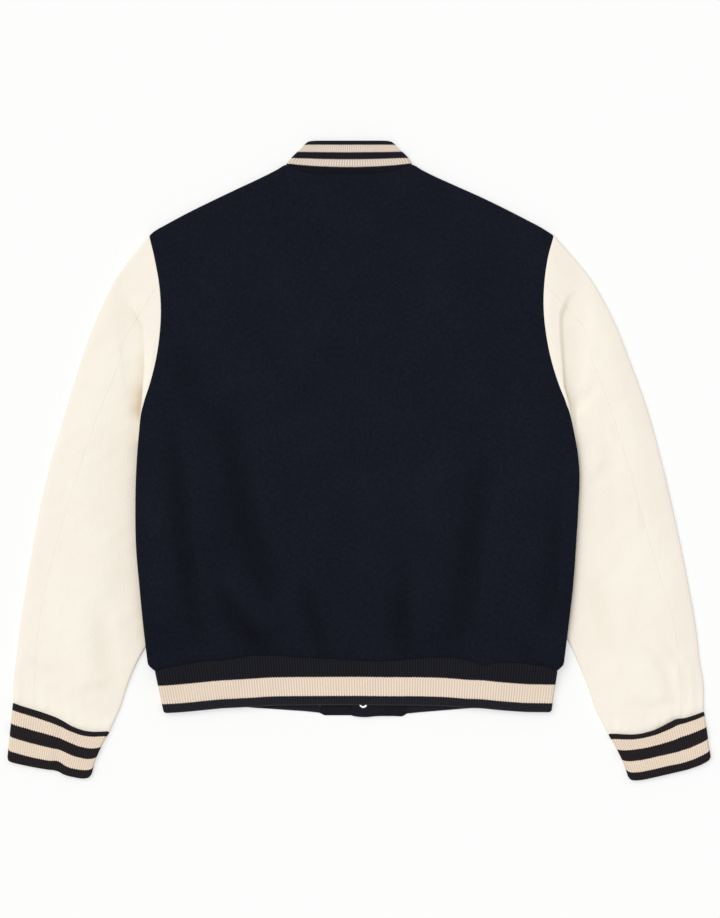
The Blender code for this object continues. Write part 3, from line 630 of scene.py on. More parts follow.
# Cream leather: a soft close grain with tiny pebbles, a low dull sheen, and a warmer tone in patches where it
# has been handled. Warm dark shade is painted into it under the pleat, in its furrows, beside the body's edge
# and at its outer fold.
cream_hide, shader = new_finish("cream_hide", 0.55, 0.16)
nodes = cream_hide.node_tree.nodes
where = nodes.new("ShaderNodeTexCoord")
pebbles = nodes.new("ShaderNodeTexVoronoi")
pebbles.feature = "SMOOTH_F1"
pebbles.inputs["Scale"].default_value = 620
pebbles.inputs["Smoothness"].default_value = 0.5
feed(cream_hide, pebbles.inputs["Vector"], where.outputs["Object"])
creases = grain(cream_hide, 75, 4, stretch=(1, 0.35, 1), distortion=0.7)
patchy = blend(cream_hide, (grain(cream_hide, 9, 3), 0.8), (creases, 0.2))
cream = tint(cream_hide, spread(cream_hide, patchy, 0.36, 0.66), (0.874, 0.823, 0.728), (0.861, 0.804, 0.704))
pits = spread(cream_hide, pebbles.outputs["Distance"], 0.25, 0.75)
cream = tint(cream_hide, reckon(cream_hide, "MULTIPLY", pits, 0.18), cream, (0.80, 0.73, 0.61))
# Painted shade, from the cloth's stored amount, towards a dark tan.
cream = tint(cream_hide, painted_shade_factor(cream_hide), cream, (0.60, 0.485, 0.345))
feed(cream_hide, shader.inputs["Base Color"], cream)
feed(cream_hide, shader.inputs["Roughness"], spread(cream_hide, creases, 0.3, 0.7, 0.50, 0.62))
surface = emboss(cream_hide, reckon(cream_hide, "SUBTRACT", 1.0, pits), 0.00016, 0.5)
surface = emboss(cream_hide, grain(cream_hide, 1500, 3), 0.00008, 0.4, surface)
feed(cream_hide, shader.inputs["Normal"], emboss(cream_hide, creases, 0.0007, 0.3, surface))

edge_steps = np.array([0, 0.3, 0.7, 1.4, 2.5, 4.0]) / 22
down_arm = np.concatenate([np.array([0, 0.006, 0.014, 0.028, 0.05, 0.08, 0.12]),
                           np.linspace(0.16, 9.86, 214),
                           10 - np.array([0.1, 0.07, 0.045, 0.026, 0.012, 0.005, 0])])
round_fold = np.linspace(90, -90, 15)[1:-1]
upper_top = np.concatenate([back_seam - edge_steps, np.linspace(back_seam - 0.24, 0, 22)])
lower_top = np.concatenate([np.linspace(0, forearm_seam - 0.3, 18), forearm_seam - edge_steps[::-1]])
lower_under = np.concatenate([forearm_seam + edge_steps, np.linspace(forearm_seam + 0.4, underarm, 9)])
upper_under = np.concatenate([np.linspace(underarm, back_seam + 0.24, 50), back_seam + edge_steps[::-1]])


def over_fold(first, fold_column, last, turn):
    """Columns of a sleeve piece, and their turns, which go round a fold from turn to its opposite."""
    columns = np.concatenate([first, np.full(len(round_fold), fold_column), last])
    turns = [np.full(len(first), turn), np.sign(turn) * round_fold, np.full(len(last), -turn)]
    return columns, np.radians(np.concatenate(turns))


for prefix, arm in (("left", left_arm), ("right", right_arm)):
    for piece, (columns, turns), seam_end in (
            ("topsleeve", over_fold(upper_top, 0, lower_top, 90), 1),
            ("undersleeve", over_fold(lower_under, underarm, upper_under, -90), -1)):
        points, share = sleeve_points(arm, down_arm, columns, turns)
        x, y = points[..., 0].copy(), points[..., 1].copy()
        left, right, side_lift = body_outline(y)
        outside = left - x if arm.side < 0 else x - right
        rise, in_shade = sleeve_relief(arm, x, y, down_arm[:, None], share, outside)
        from_armhole, from_cuff = edge_distance(points, 0, 1), edge_distance(points, 0, -1)
        puckers = 0.55 * uneven(x, y * 0.2, 13, 51 + arm.side) * np.exp(-from_cuff / 17)
        blouse = 1.2 * np.exp(-((from_cuff - 9) / 8) ** 2)
        tight = (1 - fade(from_armhole, 1, 12)) * (1 - fade(from_cuff, 0.5, 4))
        above, beneath = np.maximum(np.sin(turns), 0), np.maximum(-np.sin(turns), 0)
        points[..., 2] += above * (tight * rise + (1 - fade(from_cuff, 0.8, 5)) * (puckers + blouse))
        points[..., 2] -= np.sin(turns) * (roll_off(from_armhole, 1.6, 0.9) + roll_off(from_cuff, 2.0, 0.9))
        points[..., 2] -= above * roll_off(edge_distance(points, 1, seam_end), 1.2, 0.1)
        points[..., 2] += beneath * roll_off(edge_distance(points, 1, -seam_end), 1.2, 0.1)
        # Under the arm the sleeve dips at once below the body's edge.
        off_body = np.maximum(outside, 0)
        ceiling = np.maximum(side_lift + edge_top - edge_drop * off_body, sleeve_loft + 0.2 * off_body)
        ceiling = ceiling + no_ceiling * (1 - fade(y, *dip_end)) + no_ceiling * (np.sin(turns) <= 0)
        points[..., 2] = np.clip(points[..., 2], floor_gap, ceiling)
        if arm.side > 0:
            points, in_shade = points[:, ::-1], in_shade[:, ::-1]
        sleeve = cloth_sheet(prefix + "_" + piece + "_hide", points, hide, cream_hide, in_shade)
        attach(sleeve, "root")
        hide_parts(prefix + "_" + piece)


# Cuffs: a tube of 2x2 rib knit, folded double at the wrist, near-black with two beige stripes knitted in.
# The gathered end of the sleeve is sewn into its upper edge.

rib = 2.6
edge_radius = rib / 2
cuff_loft = 6.4
cuff_pitch, stitch_height = 2.87, 1.25
cuff_courses = (0, 13.2, 29.9, 46.0, 62.5, 71.0)      # the stripes' edges, as knitted
cuff_dent = -374.0, -350.0                            # on the left cuff
to_ridge = 8             # columns of mesh to a rib
fold_turns = np.linspace(-90, 90, 60)                 # round a side fold, from below


def ring(left, right, share, turn, loft, depth, lift, rise):
    """Points in a flattened tube's wall, at a depth under its outside, on sections from left to right."""
    radius = loft / 2 - depth
    across = right - left
    across = across / np.linalg.norm(across, axis=-1, keepdims=True)
    inward = across * loft / 2
    flat = left + inward + share[:, None] * (right - left - 2 * inward)
    flat = flat + across * (np.where(share < 0.5, -1, 1) * radius * np.cos(turn))[:, None]
    return np.column_stack([flat[:, 0], flat[:, 1] + rise, lift + loft / 2 + radius * np.sin(turn)])


def place_across(share, turn, width, loft):
    """Place across a flattened tube, from 0 at the outside of its left fold to 1 at that of its right one."""
    inward = loft / 2 / width
    return inward + share * (1 - 2 * inward) + np.where(share < 0.5, -1, 1) * inward * np.cos(turn)

def rib_columns(wall, legs, pitch, closed):
    """Lay ribs of about one pitch round a tube, along legs of shares and turns. It gives the columns' shares,
    turns and runs in millimetres, and the ribs' own pitch."""
    shares, turns = zip(*(np.broadcast_arrays(*leg) for leg in legs))
    share, turn = np.concatenate(shares), np.radians(np.concatenate(turns))
    middle_wall = wall(share, turn, np.full(len(share), 0.5), np.zeros(len(share)))
    run = np.concatenate([[0], np.cumsum(np.linalg.norm(np.diff(middle_wall, axis=0), axis=1))])
    ribs = round(run[-1] / pitch)
    at = np.linspace(0, run[-1], ribs * to_ridge + 1)
    if closed:
        at = at[:-1]
    return np.interp(at, run, share), np.interp(at, run, turn), at, run[-1] / ribs


def band_rows(height, tuck):
    """Rows over a band's wall: up its outer face, in under the cloth that it is sewn to and down its inner
    face. Each has its distance from the free edge, its depth and how far its ribs stand out."""
    rim = [(edge_radius * (1 - np.sin(a)), edge_radius * (1 - np.cos(a)))
           for a in np.radians([90, 60, 35, 15, 160, 125])]
    rows = [(t, depth, 1.0) for t, depth in rim[:4]]
    rows += [(t, 0.0, 1.0) for t in np.linspace(edge_radius, height - 3.4, max(int(height / 3.4), 3))]
    rows += [(height - t, depth, max(1 - depth / 1.4, 0))
             for t, depth in ((2.3, 0.1), (1.3, 0.4), (0.6, 0.9), (0.15, 1.6))]
    rows += [(height + tuck[0] * t, tuck[1] + more, 0.0)
             for t, more in ((0.3, 0), (1, 0), (1, 0.45), (0.3, 0.45))]
    rows += [(t, rib, 0.0) for t in np.linspace(height - 8, edge_radius + 4, 5)]
    return rows + [(t, depth, 0.3) for t, depth in rim[4:]]


def rib_band(name, wall, columns, closed, relief, finish, tuck, recede=0, course=None, ridge=0.32):
    """A doubled band of rib knit. wall gives the points of its columns at fractions of its height, from
    the free edge to the seam, and at depths under its outside. relief is how the cloth rises and falls at
    a fraction of the height, tuck how far and how deep its upper end goes under the cloth that it is sewn
    to, recede how far the free edge falls back at each column, and course which distance from the free
    edge a fraction of the height had while it was knitted."""
    share, turn, run, pitch = columns
    none = np.zeros(len(share))
    height = np.linalg.norm(wall(share, turn, none + 1, none) - wall(share, turn, none, none), axis=1)
    typical = np.median(height)
    first = recede / height
    points, heights_up, strength = [], [], []
    for t, depth, mask in band_rows(typical, tuck):
        fraction = first + (1 - first) * t / typical
        slack = 0.3 if typical - 3 < t < typical else 0.45 if t > typical else 1      # the folds stay full
        row = wall(share, turn, fraction, depth * (slack + (1 - slack) * np.abs(np.sin(turn))))
        row[:, 2] += np.maximum(np.sin(turn), 0) * relief(row[:, 0], row[:, 1], np.minimum(fraction, 1))
        points.append(row)
        heights_up.append(course(share, turn, fraction) if course else fraction * height)
        strength.append(none + mask)
    points, heights_up, strength = np.stack(points), np.stack(heights_up), np.stack(strength)
    up = np.roll(points, -1, axis=0) - np.roll(points, 1, axis=0)
    if closed:
        across = np.roll(points, -1, axis=1) - np.roll(points, 1, axis=1)
    else:
        across = np.gradient(points, axis=1)
    normal = np.cross(across, up)
    normal /= np.maximum(np.linalg.norm(normal, axis=-1, keepdims=True), 1e-9)
    valley = 0.5 - 0.5 * np.cos(2 * np.pi * run / pitch)
    points = points - normal * (ridge * strength * valley ** 1.3)[..., None]
    points[..., 2] = np.maximum(points[..., 2], floor_gap)

    # The grid's last row, and a cuff's last column, lie on the first and are merged with it.
    points, heights_up = np.concatenate([points, points[:1]]), np.concatenate([heights_up, heights_up[:1]])
    if closed:
        run = np.append(run, 2 * run[-1] - run[-2])
        points = np.concatenate([points, points[:, :1]], axis=1)
        heights_up = np.concatenate([heights_up, heights_up[:, :1]], axis=1)
    cloth_map = np.stack([run + 0 * heights_up, heights_up], axis=-1) * mm
    bm = draw_grid(points)
    layer = bm.loops.layers.uv.new("cloth")
    for vert, place in zip(bm.verts, cloth_map.reshape(-1, 2)):
        for loop in vert.link_loops:
            loop[layer].uv = place
    bmesh.ops.remove_doubles(bm, verts=bm.verts, dist=0.000005)
    if not closed:
        bmesh.ops.holes_fill(bm, edges=[edge for edge in bm.edges if edge.is_boundary], sides=0)
    piece = add_piece(name, bm, finish)
    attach(piece, "root")
    return piece


def rib_finish(name, pitch, stripes, beige_pair, dark_pair, edge_highlight_strength=0.0, shade_painted_past=99.0):
    """Rib knit with beige stripes between pairs of distances from the free edge, in millimetres, in colours
    for the valleys and the ridges: the valleys' darker colour is painted shade. The map runs round the band
    and up from its free edge, in metres. The last two arguments give how strong a painted highlight lies
    along the free edge, and a distance from it past which the dark knit gets painted shade."""
    finish, shader = new_finish(name, 0.95, 0.05)
    shader.inputs["Sheen Weight"].default_value = 0.04
    nodes = finish.node_tree.nodes
    cloth = nodes.new("ShaderNodeUVMap")
    cloth.uv_map = "cloth"
    parts = nodes.new("ShaderNodeSeparateXYZ")
    feed(finish, parts.inputs[0], cloth.outputs[0])
    along, height = parts.outputs[0], parts.outputs[1]

    def wave(angle):
        return reckon(finish, "MULTIPLY_ADD", reckon(finish, "COSINE", angle), 0.5, 0.5)

    def between(where, start, stop, first, last):
        return spread(finish, where, start * mm, stop * mm, first, last)

    rib_angle = reckon(finish, "MULTIPLY", along, 2 * np.pi / (pitch * mm))
    ridge = wave(rib_angle)
    # Stitches lean to the two sides of a rib's middle and make its small Vs.
    from_middle = reckon(finish, "SINE", reckon(finish, "MULTIPLY", rib_angle, 0.5))
    lean = reckon(finish, "MULTIPLY", reckon(finish, "ABSOLUTE", from_middle), 2.4)
    stitch = wave(reckon(finish, "MULTIPLY_ADD", height, 2 * np.pi / (stitch_height * mm), lean))
    fuzz = grain(finish, 900, 2)
    # Painted shade: the ribs' valleys and the stitches' hollows are coloured darker, with the fuzz's own
    # random tone mixed in.
    shade = spread(finish, blend(finish, (ridge, 0.62), (stitch, 0.2), (fuzz, 0.25)), 0.12, 0.9)
    # A stripe's edge is a little ragged, and lies lower on a ridge than in a valley.
    up = reckon(finish, "MULTIPLY_ADD", ridge, 1.0 * mm, height)
    up = reckon(finish, "MULTIPLY_ADD", grain(finish, 260, 1), 0.5 * mm, up)
    beige = 0.0
    for low, high in stripes:
        inside = reckon(finish, "MULTIPLY", between(up, low + 0.6, low + 0.9, 0.0, 1.0),
                        between(up, high + 0.6, high + 0.9, 1.0, 0.0))
        beige = reckon(finish, "ADD", beige, inside)
    # A painted highlight along the folded free edge, fading out within about 1.5 mm, and a faint one up to
    # about 14 mm.
    edge_highlight = reckon(finish, "ADD", between(height, 0.7, 1.5, 0.7, 0.0), between(height, 9, 14, 0.12, 0.0))
    dark = tint(finish, shade, *dark_pair)
    dark = tint(finish, reckon(finish, "MULTIPLY", edge_highlight, edge_highlight_strength), dark, (0.050, 0.050, 0.058))
    # Painted shade on the dark knit beyond a given distance from the free edge.
    dark = tint(finish, between(height, shade_painted_past - 1, shade_painted_past + 1, 0.0, 0.6), dark, (0.0050, 0.0045, 0.0098))
    colour = tint(finish, beige, dark, tint(finish, shade, *beige_pair))
    feed(finish, shader.inputs["Base Color"], colour)
    surface = emboss(finish, fuzz, 0.00025, 0.5)
    feed(finish, shader.inputs["Normal"], emboss(finish, stitch, 0.00035, 0.7, surface))
    return finish


def courses_between(fraction, levels, knitted):
    """The knitted distance from the free edge at a fraction of the height, where levels are the
    fractions at which the stripes' edges lie."""
    up = 0
    for low, high, start, stop in zip(levels, levels[1:], knitted, knitted[1:]):
        up = up + (stop - start) * np.clip((fraction - low) / (high - low), 0, 1)
    return up


def knit_cuff(prefix, arm, edge, free_edge, waist, levels):
    """A cuff from its free edge, whose ends are given as outer x, y, inner x, y, to the sleeve's seam. waist
    is how far its inner side is drawn in, and levels has a row for each stripe edge, across the cuff."""
    low_outer, low_inner = np.array(edge[:2]), np.array(edge[2:])
    seam_outer, seam_inner = arm.rows[-1, 0:2] - (0, seam_gap), arm.rows[-1, 2:4] - (0, seam_gap)
    width = np.linalg.norm(low_inner - low_outer)

    def wall(share, turn, fraction, depth):
        up = fraction[:, None]
        drawn = arm.side * waist * np.clip(4 * fraction * (1 - fraction), 0, 1)[:, None] * (1, 0)
        outer = low_outer + (seam_outer - low_outer) * up
        inner = low_inner + (seam_inner - low_inner) * up + drawn
        across = place_across(share, turn, width, cuff_loft)
        rise = edge_line(across, free_edge) * (1 - fraction) + edge_line(share, arm.cuff_seam) * fraction
        return ring(outer, inner, share, turn, cuff_loft, depth, 0, rise)

    def course(share, turn, fraction):
        across = place_across(share, turn, width, cuff_loft)
        edges = [flow(across, np.linspace(0, 1, len(level)), level, calm=True) for level in levels]
        return courses_between(fraction, [0 * across] + edges + [0 * across + 1], cuff_courses)

    def relief(x, y, fraction):
        dent = 0
        if arm.side < 0:
            dent = -1.6 * np.exp(-((x - cuff_dent[0] - 0.12 * (y - cuff_dent[1])) / 7) ** 2)
        middle = 4 * fraction * (1 - fraction)
        return dent + 1.3 * middle + 0.6 * uneven(x, y, 40, 61 + arm.side) * np.clip(fraction * 3, 0, 1)

    across = np.linspace(0, 1, 500)
    legs = ((0.0, fold_turns), (across, 90.0), (1.0, fold_turns[::-1]), (across[::-1], -90.0))
    columns = rib_columns(wall, legs, cuff_pitch, True)
    knit = rib_finish(prefix + "_cuff_knit", columns[3], (cuff_courses[1:3], cuff_courses[3:5]),
                      ((0.70, 0.572, 0.450), (0.90, 0.755, 0.61)),
                      ((0.0100, 0.0080, 0.0086), (0.0248, 0.0206, 0.0230)))
    cuff = rib_band(prefix + "_cuff_band", wall, columns, True, relief, knit, (1.0, 2.3), course=course)
    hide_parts(prefix + "_cuff")


left_free_edge = [(0, 0.9), (0.012, -1.6), (0.07, -3.1), (0.13, -3.4), (0.307, -3.75), (0.483, -3.4),
                  (0.542, -2.9), (0.6, -3.4), (0.66, -5.5), (0.72, -6.5), (0.837, -6.75), (0.896, -6.2),
                  (0.955, -3.9), (0.985, -1), (1, 2.5)]
left_levels = (          # fractions of the height, from the outer fold to the inner one
    (0.18, 0.187, 0.18, 0.177, 0.177, 0.178, 0.189, 0.22, 0.198, 0.186, 0.189, 0.186, 0.181),
    (0.426, 0.426, 0.421, 0.418, 0.418, 0.421, 0.432, 0.452, 0.456, 0.444, 0.431, 0.42, 0.419),
    (0.647, 0.651, 0.654, 0.649, 0.654, 0.659, 0.667, 0.68, 0.685, 0.67, 0.657, 0.649, 0.649),
    (0.877, 0.88, 0.881, 0.878, 0.875, 0.876, 0.879, 0.895, 0.904, 0.904, 0.9, 0.9, 0.895))
right_free_edge = [(0, 1.5), (0.015, -1), (0.048, -2.75), (0.107, -4.6), (0.167, -5.75), (0.227, -6.4),
                   (0.3, -6.9), (0.5, -6.75), (0.75, -6.4), (0.823, -6), (0.883, -5.2), (0.943, -3.6),
                   (0.98, -1), (1, 2)]
right_levels = (
    (0.173, 0.173, 0.167, 0.159, 0.155, 0.167, 0.181, 0.185, 0.185, 0.183, 0.177, 0.176, 0.186),
    (0.421, 0.42, 0.412, 0.396, 0.39, 0.408, 0.429, 0.44, 0.438, 0.431, 0.423, 0.414, 0.411),
    (0.679, 0.679, 0.676, 0.659, 0.646, 0.662, 0.683, 0.69, 0.689, 0.683, 0.666, 0.654, 0.654),
    (0.92, 0.914, 0.916, 0.897, 0.878, 0.886, 0.9, 0.904, 0.904, 0.897, 0.89, 0.89, 0.89))
knit_cuff("left", left_arm, (-440.0, -373.4, -334.0, -393.5), left_free_edge, 2.9, left_levels)
knit_cuff("right", right_arm, (440.0, -372.2, 336.6, -397.3), right_free_edge, 2.5, right_levels)


# Hem rib: a doubled band of the same knit with one wide beige stripe. It runs from one hem tab round
# both sides and across the back, and is stretched a little as it is sewn, so it draws the body in.

rib_left, rib_right = np.array((-244.3, -315.2)), np.array((240.6, -313.8))
hem_left, hem_right = np.array((-255.3, -255.0)), np.array((248.1, -255.0))
low_width = rib_right[0] - rib_left[0]
hem_pitch, hem_stripe = 3.3, (11.9, 35.4)
tab_left, tab_right = -48.7, 60.5        # outer ends of the tabs
back_edge = [(0, -0.3), (0.024, 0.2), (0.066, 1.8), (0.108, 3.7), (0.15, 5.5), (0.192, 6.4), (0.234, 7.4),
             (0.276, 8.6), (0.318, 8.9), (0.4, 9), (0.486, 9), (0.573, 8.5), (0.654, 8.3), (0.717, 7.5),
             (0.759, 6.1), (0.78, 5.2), (0.822, 4.5), (0.864, 2.5), (0.906, 0.8), (0.948, -0.4), (1, -0.7)]
front_edge = [(0, -0.3), (0.05, 2.2), (0.1, 4.4), (0.15, 6.2), (0.192, 6.9), (0.234, 5.4), (0.276, 4.1),
              (0.318, 2.6), (0.36, 1.2), (0.389, -0.2), (0.41, -1.4), (0.62, -2.5), (0.638, -1.8),
              (0.651, -1.2), (0.665, -0.6), (0.696, 0.6), (0.738, 2.2), (0.78, 3.8), (0.822, 4.9),
              (0.864, 3.3), (0.906, 1.7), (0.948, 0.4), (1, -0.7)]


def hem_wall(share, turn, fraction, depth):
    """Points of the hem rib, for rib_band."""
    up = fraction[:, None]
    left, right = rib_left + (hem_left - rib_left) * up, rib_right + (hem_right - rib_right) * up
    width = right[:, 0] - left[:, 0] - 2 * fold
    lift = (1.0 + 5.6 * np.minimum(fraction, 1)) * fade(np.minimum(share, 1 - share) * width, *over_sleeve)
    free = np.where(turn > 0, edge_line(share, back_edge), edge_line(share, front_edge))
    sewn = np.where(turn > 0, edge_line(share, hem_seam), edge_line(share, front_seam)) - seam_gap
    return ring(left, right, share, turn, 2 * fold, depth, lift, free * (1 - fraction) + sewn * fraction)


def hem_relief(x, y, fraction):
    """How the hem rib is drawn up in soft waves at its seam."""
    drawn = 0.5 * uneven(x, 0 * y, 15, 71) * np.clip(fraction * 1.6 - 0.5, 0, 1)
    return drawn + 1.2 * fraction * (1 - fraction) + 0.5 * uneven(x, y, 60, 72)


tab_left_share, tab_right_share = (np.array((tab_left + 0.4, tab_right - 0.4)) - rib_left[0] - fold) / (
    low_width - 2 * fold)
hem_legs = ((np.linspace(tab_left_share, 0, 500), -90.0), (0.0, fold_turns), (np.linspace(0, 1, 900), 90.0),
            (1.0, fold_turns[::-1]), (np.linspace(1, tab_right_share, 500), -90.0))
columns = rib_columns(hem_wall, hem_legs, hem_pitch, False)
across = place_across(columns[0], columns[1], low_width, 2 * fold)
recede = roll_off(np.minimum(across, 1 - across) * low_width, 3.75, 1.9)
# The hem's knit has the painted highlight along its free edge.
hem_knit = rib_finish("hem_knit", columns[3], (hem_stripe,), ((0.66, 0.54, 0.428), (0.90, 0.758, 0.622)),
                      ((0.0062, 0.0064, 0.0090), (0.0150, 0.0154, 0.0205)), edge_highlight_strength=1.0)
hem = rib_band("hem_band", hem_wall, columns, False, hem_relief, hem_knit, (3.0, 3.0), recede=recede)
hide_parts("hem_rib")


# Hem tabs: two squares of melton that end the rib at the closing, each with its lower outer corner cut
# off. The right one laps over the left one, and the lowest snap holds them.

tab_melton = brushed_melton("tab_melton", (0.0088, 0.0086, 0.0120), (0.0146, 0.0140, 0.0188))
tab_top, tab_height, tab_wall = -255.6, 63.7, 1.3
tab_wave = [(-9, 0.4), (-1.4, -1), (8, -1.5), (19.6, -0.5), (27.5, -0.1), (42.5, -0.2), (53.5, -0.6),
            (61, -0.6)]                  # x, height, along the right tab's lower edge
edge_reach = np.array([0, 0.3, 0.8, 1.5, 2.4])
tab_roll = 1.8, 0.95
for name, side, outer, low, cut_in, cut_up, lap in (
        ("left_hem_tab", -1, tab_left, -318.5, 5.4, 2.8, left_lap),
        ("right_hem_tab", 1, tab_right, -319.2, 6.1, 3.8, right_lap)):
    length = abs(centre_hem[0] - side * lap - outer)
    reach = np.concatenate([edge_reach, np.linspace(3.6, length - 3.6, 36), length - edge_reach[::-1]])
    rows = np.concatenate([edge_reach, np.linspace(3.6, 60, 34), tab_height - edge_reach[::-1]])
    x = outer - side * reach[None, :] + 0 * rows[:, None]
    cut = np.clip(1 - reach / cut_in, 0, 1)[None, :] * cut_up
    if side > 0:
        low = low + edge_line(x[:1], tab_wave)
    y = low + cut + (tab_top - low - cut) * rows[:, None] / rows[-1]
    under = (lap_rise(x, centre_hem[1]) if side > 0 else 0) + 0 * x
    rolled = np.maximum(roll_off(np.minimum(reach, length - reach), *tab_roll)[None, :],
                        roll_off(rows, *tab_roll)[:, None])
    press = 0.6 * snap_press(x, y) if side > 0 else 0
    z = under + melton - rolled - press + 0.12 * uneven(x, y, 22, 81)
    points = np.stack([x, y, np.maximum(z, tab_wall + 0.05)], axis=-1)
    if side > 0:
        points = points[:, ::-1]
    tab = cloth_sheet(name + "_cloth", points, tab_wall, tab_melton)
    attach(tab, "root")
    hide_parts(name)


# Collar: a stand collar of doubled rib with two beige stripes, sewn into the neck. Its ends meet at the
# throat, and it lies flattened, with its back over its front.

collar_left, collar_right = np.array((-67.9, 395.4)), np.array((45.0, 395.4))
collar_crown, collar_dip = 5.0, 65.0
collar_width = collar_right[0] - collar_left[0]
collar_pitch = 3.06
collar_courses = (0, 4.5, 14.0, 22.4, 32.2, 40.0)      # the stripes' edges, as knitted
collar_lines = ((394.7, 394.7), (386.3, 385.75), (378.2, 376.5), (371.4, 367.4))   # at the sides, the middle


def crown(across):
    """How far the collar's upper edge stands over its ends."""
    return collar_crown * (1 - np.exp(-np.minimum(across, 1 - across) * collar_width / 3.6))


def collar_wall(share, turn, fraction, depth):
    """Points of the collar, for rib_band. Its free edge is the upper one, and it flares out near its foot."""
    down = (1 - fraction)[:, None]
    seam_left, seam_right = neck_left + (0.1, 0), neck_right + (1.8, 0)
    flare = 6.75 * (1 - down) ** 2 * down * (1, 0)
    left = seam_left + (collar_left - seam_left) * down - 1.5 * flare
    right = seam_right + (collar_right - seam_right) * down + 2.8 * flare
    across = place_across(share, turn, collar_width, 2 * fold)
    on_back = crown(across) * (1 - fraction) - back_scoop(across) * fraction
    on_front = -(collar_dip + (front_neck_depth - collar_dip) * fraction) * bow(share)
    return ring(left, right, share, turn, 2 * fold, depth, 0, np.where(turn > 0, on_back, on_front))


def collar_course(share, turn, fraction):
    """Its stripes lie level across the back and drop a little to the folds, where the knit is drawn in."""
    across = place_across(share, turn, collar_width, 2 * fold)
    top, seam = collar_left[1] + crown(across), neck_left[1] - back_scoop(across)
    bent = np.abs(2 * across - 1) ** 1.8
    levels = [0 * across]
    for number, (at_side, at_middle) in enumerate(collar_lines, start=1):
        line = at_middle + (at_side - at_middle) * bent
        levels.append(np.clip((top - line) / (top - seam), 0.003 * number, 1 - 0.003 * (5 - number)))
    return courses_between(fraction, levels + [0 * across + 1], collar_courses)


def collar_relief(x, y, fraction):
    """How the collar bulges between its edges."""
    return 1.2 * fraction * (1 - fraction) + 0.25 * uneven(x, y, 40, 91)


def quarter(start, stop):
    """Shares from start to stop, spaced as on a half circle, for an edge that starts steeply."""
    angle = np.linspace(np.arccos(1 - 2 * start), np.arccos(1 - 2 * stop), 600)
    return (1 - np.cos(angle)) / 2


neck_width = neck_right[0] - neck_left[0]
throat, throat_gap = (centre_top[0] - neck_left[0]) / neck_width, 0.8 / neck_width
collar_legs = ((quarter(throat + throat_gap, 1), -90.0), (1.0, fold_turns), (np.linspace(1, 0, 500), 90.0),
               (0.0, fold_turns[::-1]), (quarter(0, throat - throat_gap), -90.0))
columns = rib_columns(collar_wall, collar_legs, collar_pitch, False)
# The collar's dark knit near its seam has painted shade.
collar_knit = rib_finish("collar_knit", columns[3], (collar_courses[1:3], collar_courses[3:5]),
                         ((0.54, 0.445, 0.366), (0.868, 0.733, 0.625)),
                         ((0.0056, 0.0055, 0.0078), (0.0172, 0.0170, 0.0235)), shade_painted_past=33.4)
collar = rib_band("collar_band", collar_wall, columns, False, collar_relief, collar_knit, (3.0, 2.7),
                  course=collar_course, ridge=0.22)
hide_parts("collar")


# Snaps: six press fasteners of nickel-plated steel down the closing. Each has a cap riveted to its
# socket through the left front, and an open ring riveted to its stud through the right front.

nickel, shader = new_finish("nickel", 0.28, 0.5)
shader.inputs["Metallic"].default_value = 1.0
scuffs = grain(nickel, 900, 3, stretch=(1, 0.2, 1))
feed(nickel, shader.inputs["Base Color"], tint(nickel, scuffs, (0.80, 0.79, 0.77), (0.62, 0.61, 0.59)))
feed(nickel, shader.inputs["Roughness"], spread(nickel, scuffs, 0.3, 0.75, 0.2, 0.36))

cap_profile = [           # radius, height
    (0, 0.9), (2.2, 0.9), (2.2, 2.35), (4.6, 2.4), (5.1, 2.25), (5.2, 2.05), (5.1, 1.85), (3.2, 1.8),
    (3.2, 1.0), (6.7, 0.95), (7.05, 0.8), (7.2, 0.55), (7.05, 0.25), (6.3, 0.08), (4.5, 0.02), (0, 0.0)]
ring_profile = [
    (0, 4.1), (2.1, 4.1), (2.35, 4.6), (2.7, 5.15), (3.3, 5.45), (4.2, 5.5), (5.0, 5.4), (5.4, 5.1),
    (5.5, 4.8), (5.3, 4.6), (3.2, 4.5), (3.2, 3.3), (5.0, 3.25), (5.2, 3.05), (5.05, 2.8), (1.9, 2.75),
    (1.9, 1.8), (1.6, 1.55), (0, 1.5)]


def turned(name, profile, centre, node):
    """A turned metal piece round an upright axis."""
    bm = bmesh.new()
    verts = [bm.verts.new((radius * mm, 0, height * mm)) for radius, height in profile]
    edges = [bm.edges.new(pair) for pair in zip(verts, verts[1:])]
    bmesh.ops.spin(bm, geom=verts + edges, cent=(0, 0, 0), axis=(0, 0, 1), angle=2 * np.pi, steps=32,
                   use_merge=True)
    bmesh.ops.remove_doubles(bm, verts=bm.verts, dist=0.000005)
    bmesh.ops.recalc_face_normals(bm, faces=bm.faces)
    bmesh.ops.translate(bm, verts=bm.verts, vec=(centre[0] * mm, centre[1] * mm, 0))
    piece = add_piece(name, bm, nickel)
    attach(piece, "root")
    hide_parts(node)


for number, height in enumerate(snap_heights, start=1):
    centre = centre_line(height), height
    turned("snap_cap_" + str(number), cap_profile, centre, "snap_socket_" + str(number))
    turned("snap_ring_" + str(number), ring_profile, centre, "snap_stud_" + str(number))


# Topstitching: a row of navy thread along the back neck, just below the collar's seam. It holds the seam
# allowance down.

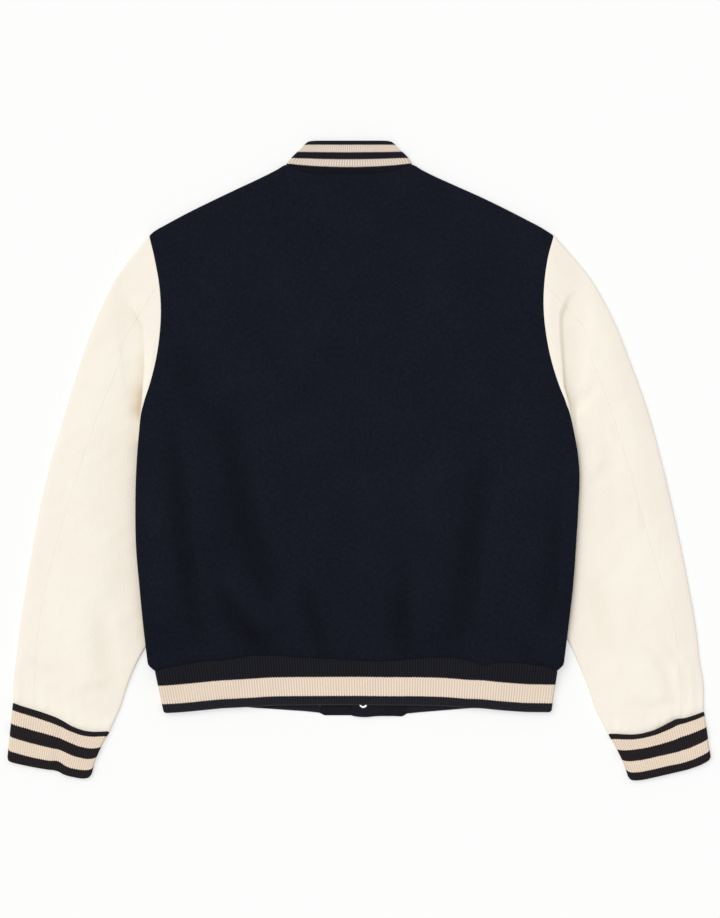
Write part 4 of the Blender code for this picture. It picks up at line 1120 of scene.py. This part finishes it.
thread, shader = new_finish("navy_thread", 0.7, 0.2)
feed(thread, shader.inputs["Base Color"],
     tint(thread, grain(thread, 3000, 2), (0.004, 0.005, 0.008), (0.009, 0.011, 0.017)))
stitch_step, stitch_length, thread_width, thread_height = 3.4, 2.6, 0.7, 0.4
below_collar, row_height = 3.6, 7.95     # where the row lies: below the seam, and up from the surface
stitch_row = bmesh.new()
for x in np.arange(neck_left[0] + 5, neck_right[0] - 4, stitch_step):
    start_y, end_y = upper_edge(np.array([x, x + stitch_length]), back_scoop) - below_collar
    made = bmesh.ops.create_uvsphere(stitch_row, u_segments=8, v_segments=6, radius=0.4)
    for vert in made["verts"]:
        along, beside_it, up = vert.co
        y = (start_y + end_y) / 2 + along * (end_y - start_y) + beside_it * thread_width
        z = row_height + up * thread_height
        vert.co = ((x + stitch_length * (0.5 + along)) * mm, y * mm, z * mm)
neck_stitches = add_piece("neck_stitches", stitch_row, thread)
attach(neck_stitches, "root")


# Floor, light and camera: a plain pale floor under soft light from all round, a little stronger from the
# upper left.

bm = bmesh.new()
bmesh.ops.create_grid(bm, x_segments=1, y_segments=1, size=12)
mesh = bpy.data.meshes.new("floor")
bm.to_mesh(mesh)
bm.free()
paper, shader = new_finish("pale_floor", 1.0, 0.0)
shader.inputs["Base Color"].default_value = (0.47, 0.47, 0.468, 1)
shader.inputs["Emission Color"].default_value = (1, 1, 0.995, 1)
shader.inputs["Emission Strength"].default_value = 0.47
mesh.materials.append(paper)
floor = bpy.data.objects.new("floor", mesh)
bpy.context.scene.collection.objects.link(floor)

world = bpy.data.worlds.new("studio")
world.use_nodes = True
world.node_tree.nodes["Background"].inputs["Color"].default_value = (1, 1, 1, 1)
world.node_tree.nodes["Background"].inputs["Strength"].default_value = 0.55
bpy.context.scene.world = world
lamp = bpy.data.lights.new("window", "SUN")
lamp.energy = 1.87
lamp.angle = np.radians(60)
window = bpy.data.objects.new("window", lamp)
window.rotation_euler = (np.radians(-14), np.radians(-20), 0)
bpy.context.scene.collection.objects.link(window)

camera_place = 0.00125, 0.00225, 5.0     # in metres, as are the next two
cloth_level = 0.007
picture_height = 1.1475                  # at the cloth's level: 918 pixels of 1.25 mm
eye = bpy.data.cameras.new("camera")
eye.clip_end = 50
eye.lens = eye.sensor_width * (camera_place[2] - cloth_level) / picture_height
camera = bpy.data.objects.new("camera", eye)
camera.location = camera_place
bpy.context.scene.collection.objects.link(camera)
bpy.context.scene.camera = camera
bpy.context.scene.view_settings.view_transform = "Standard"
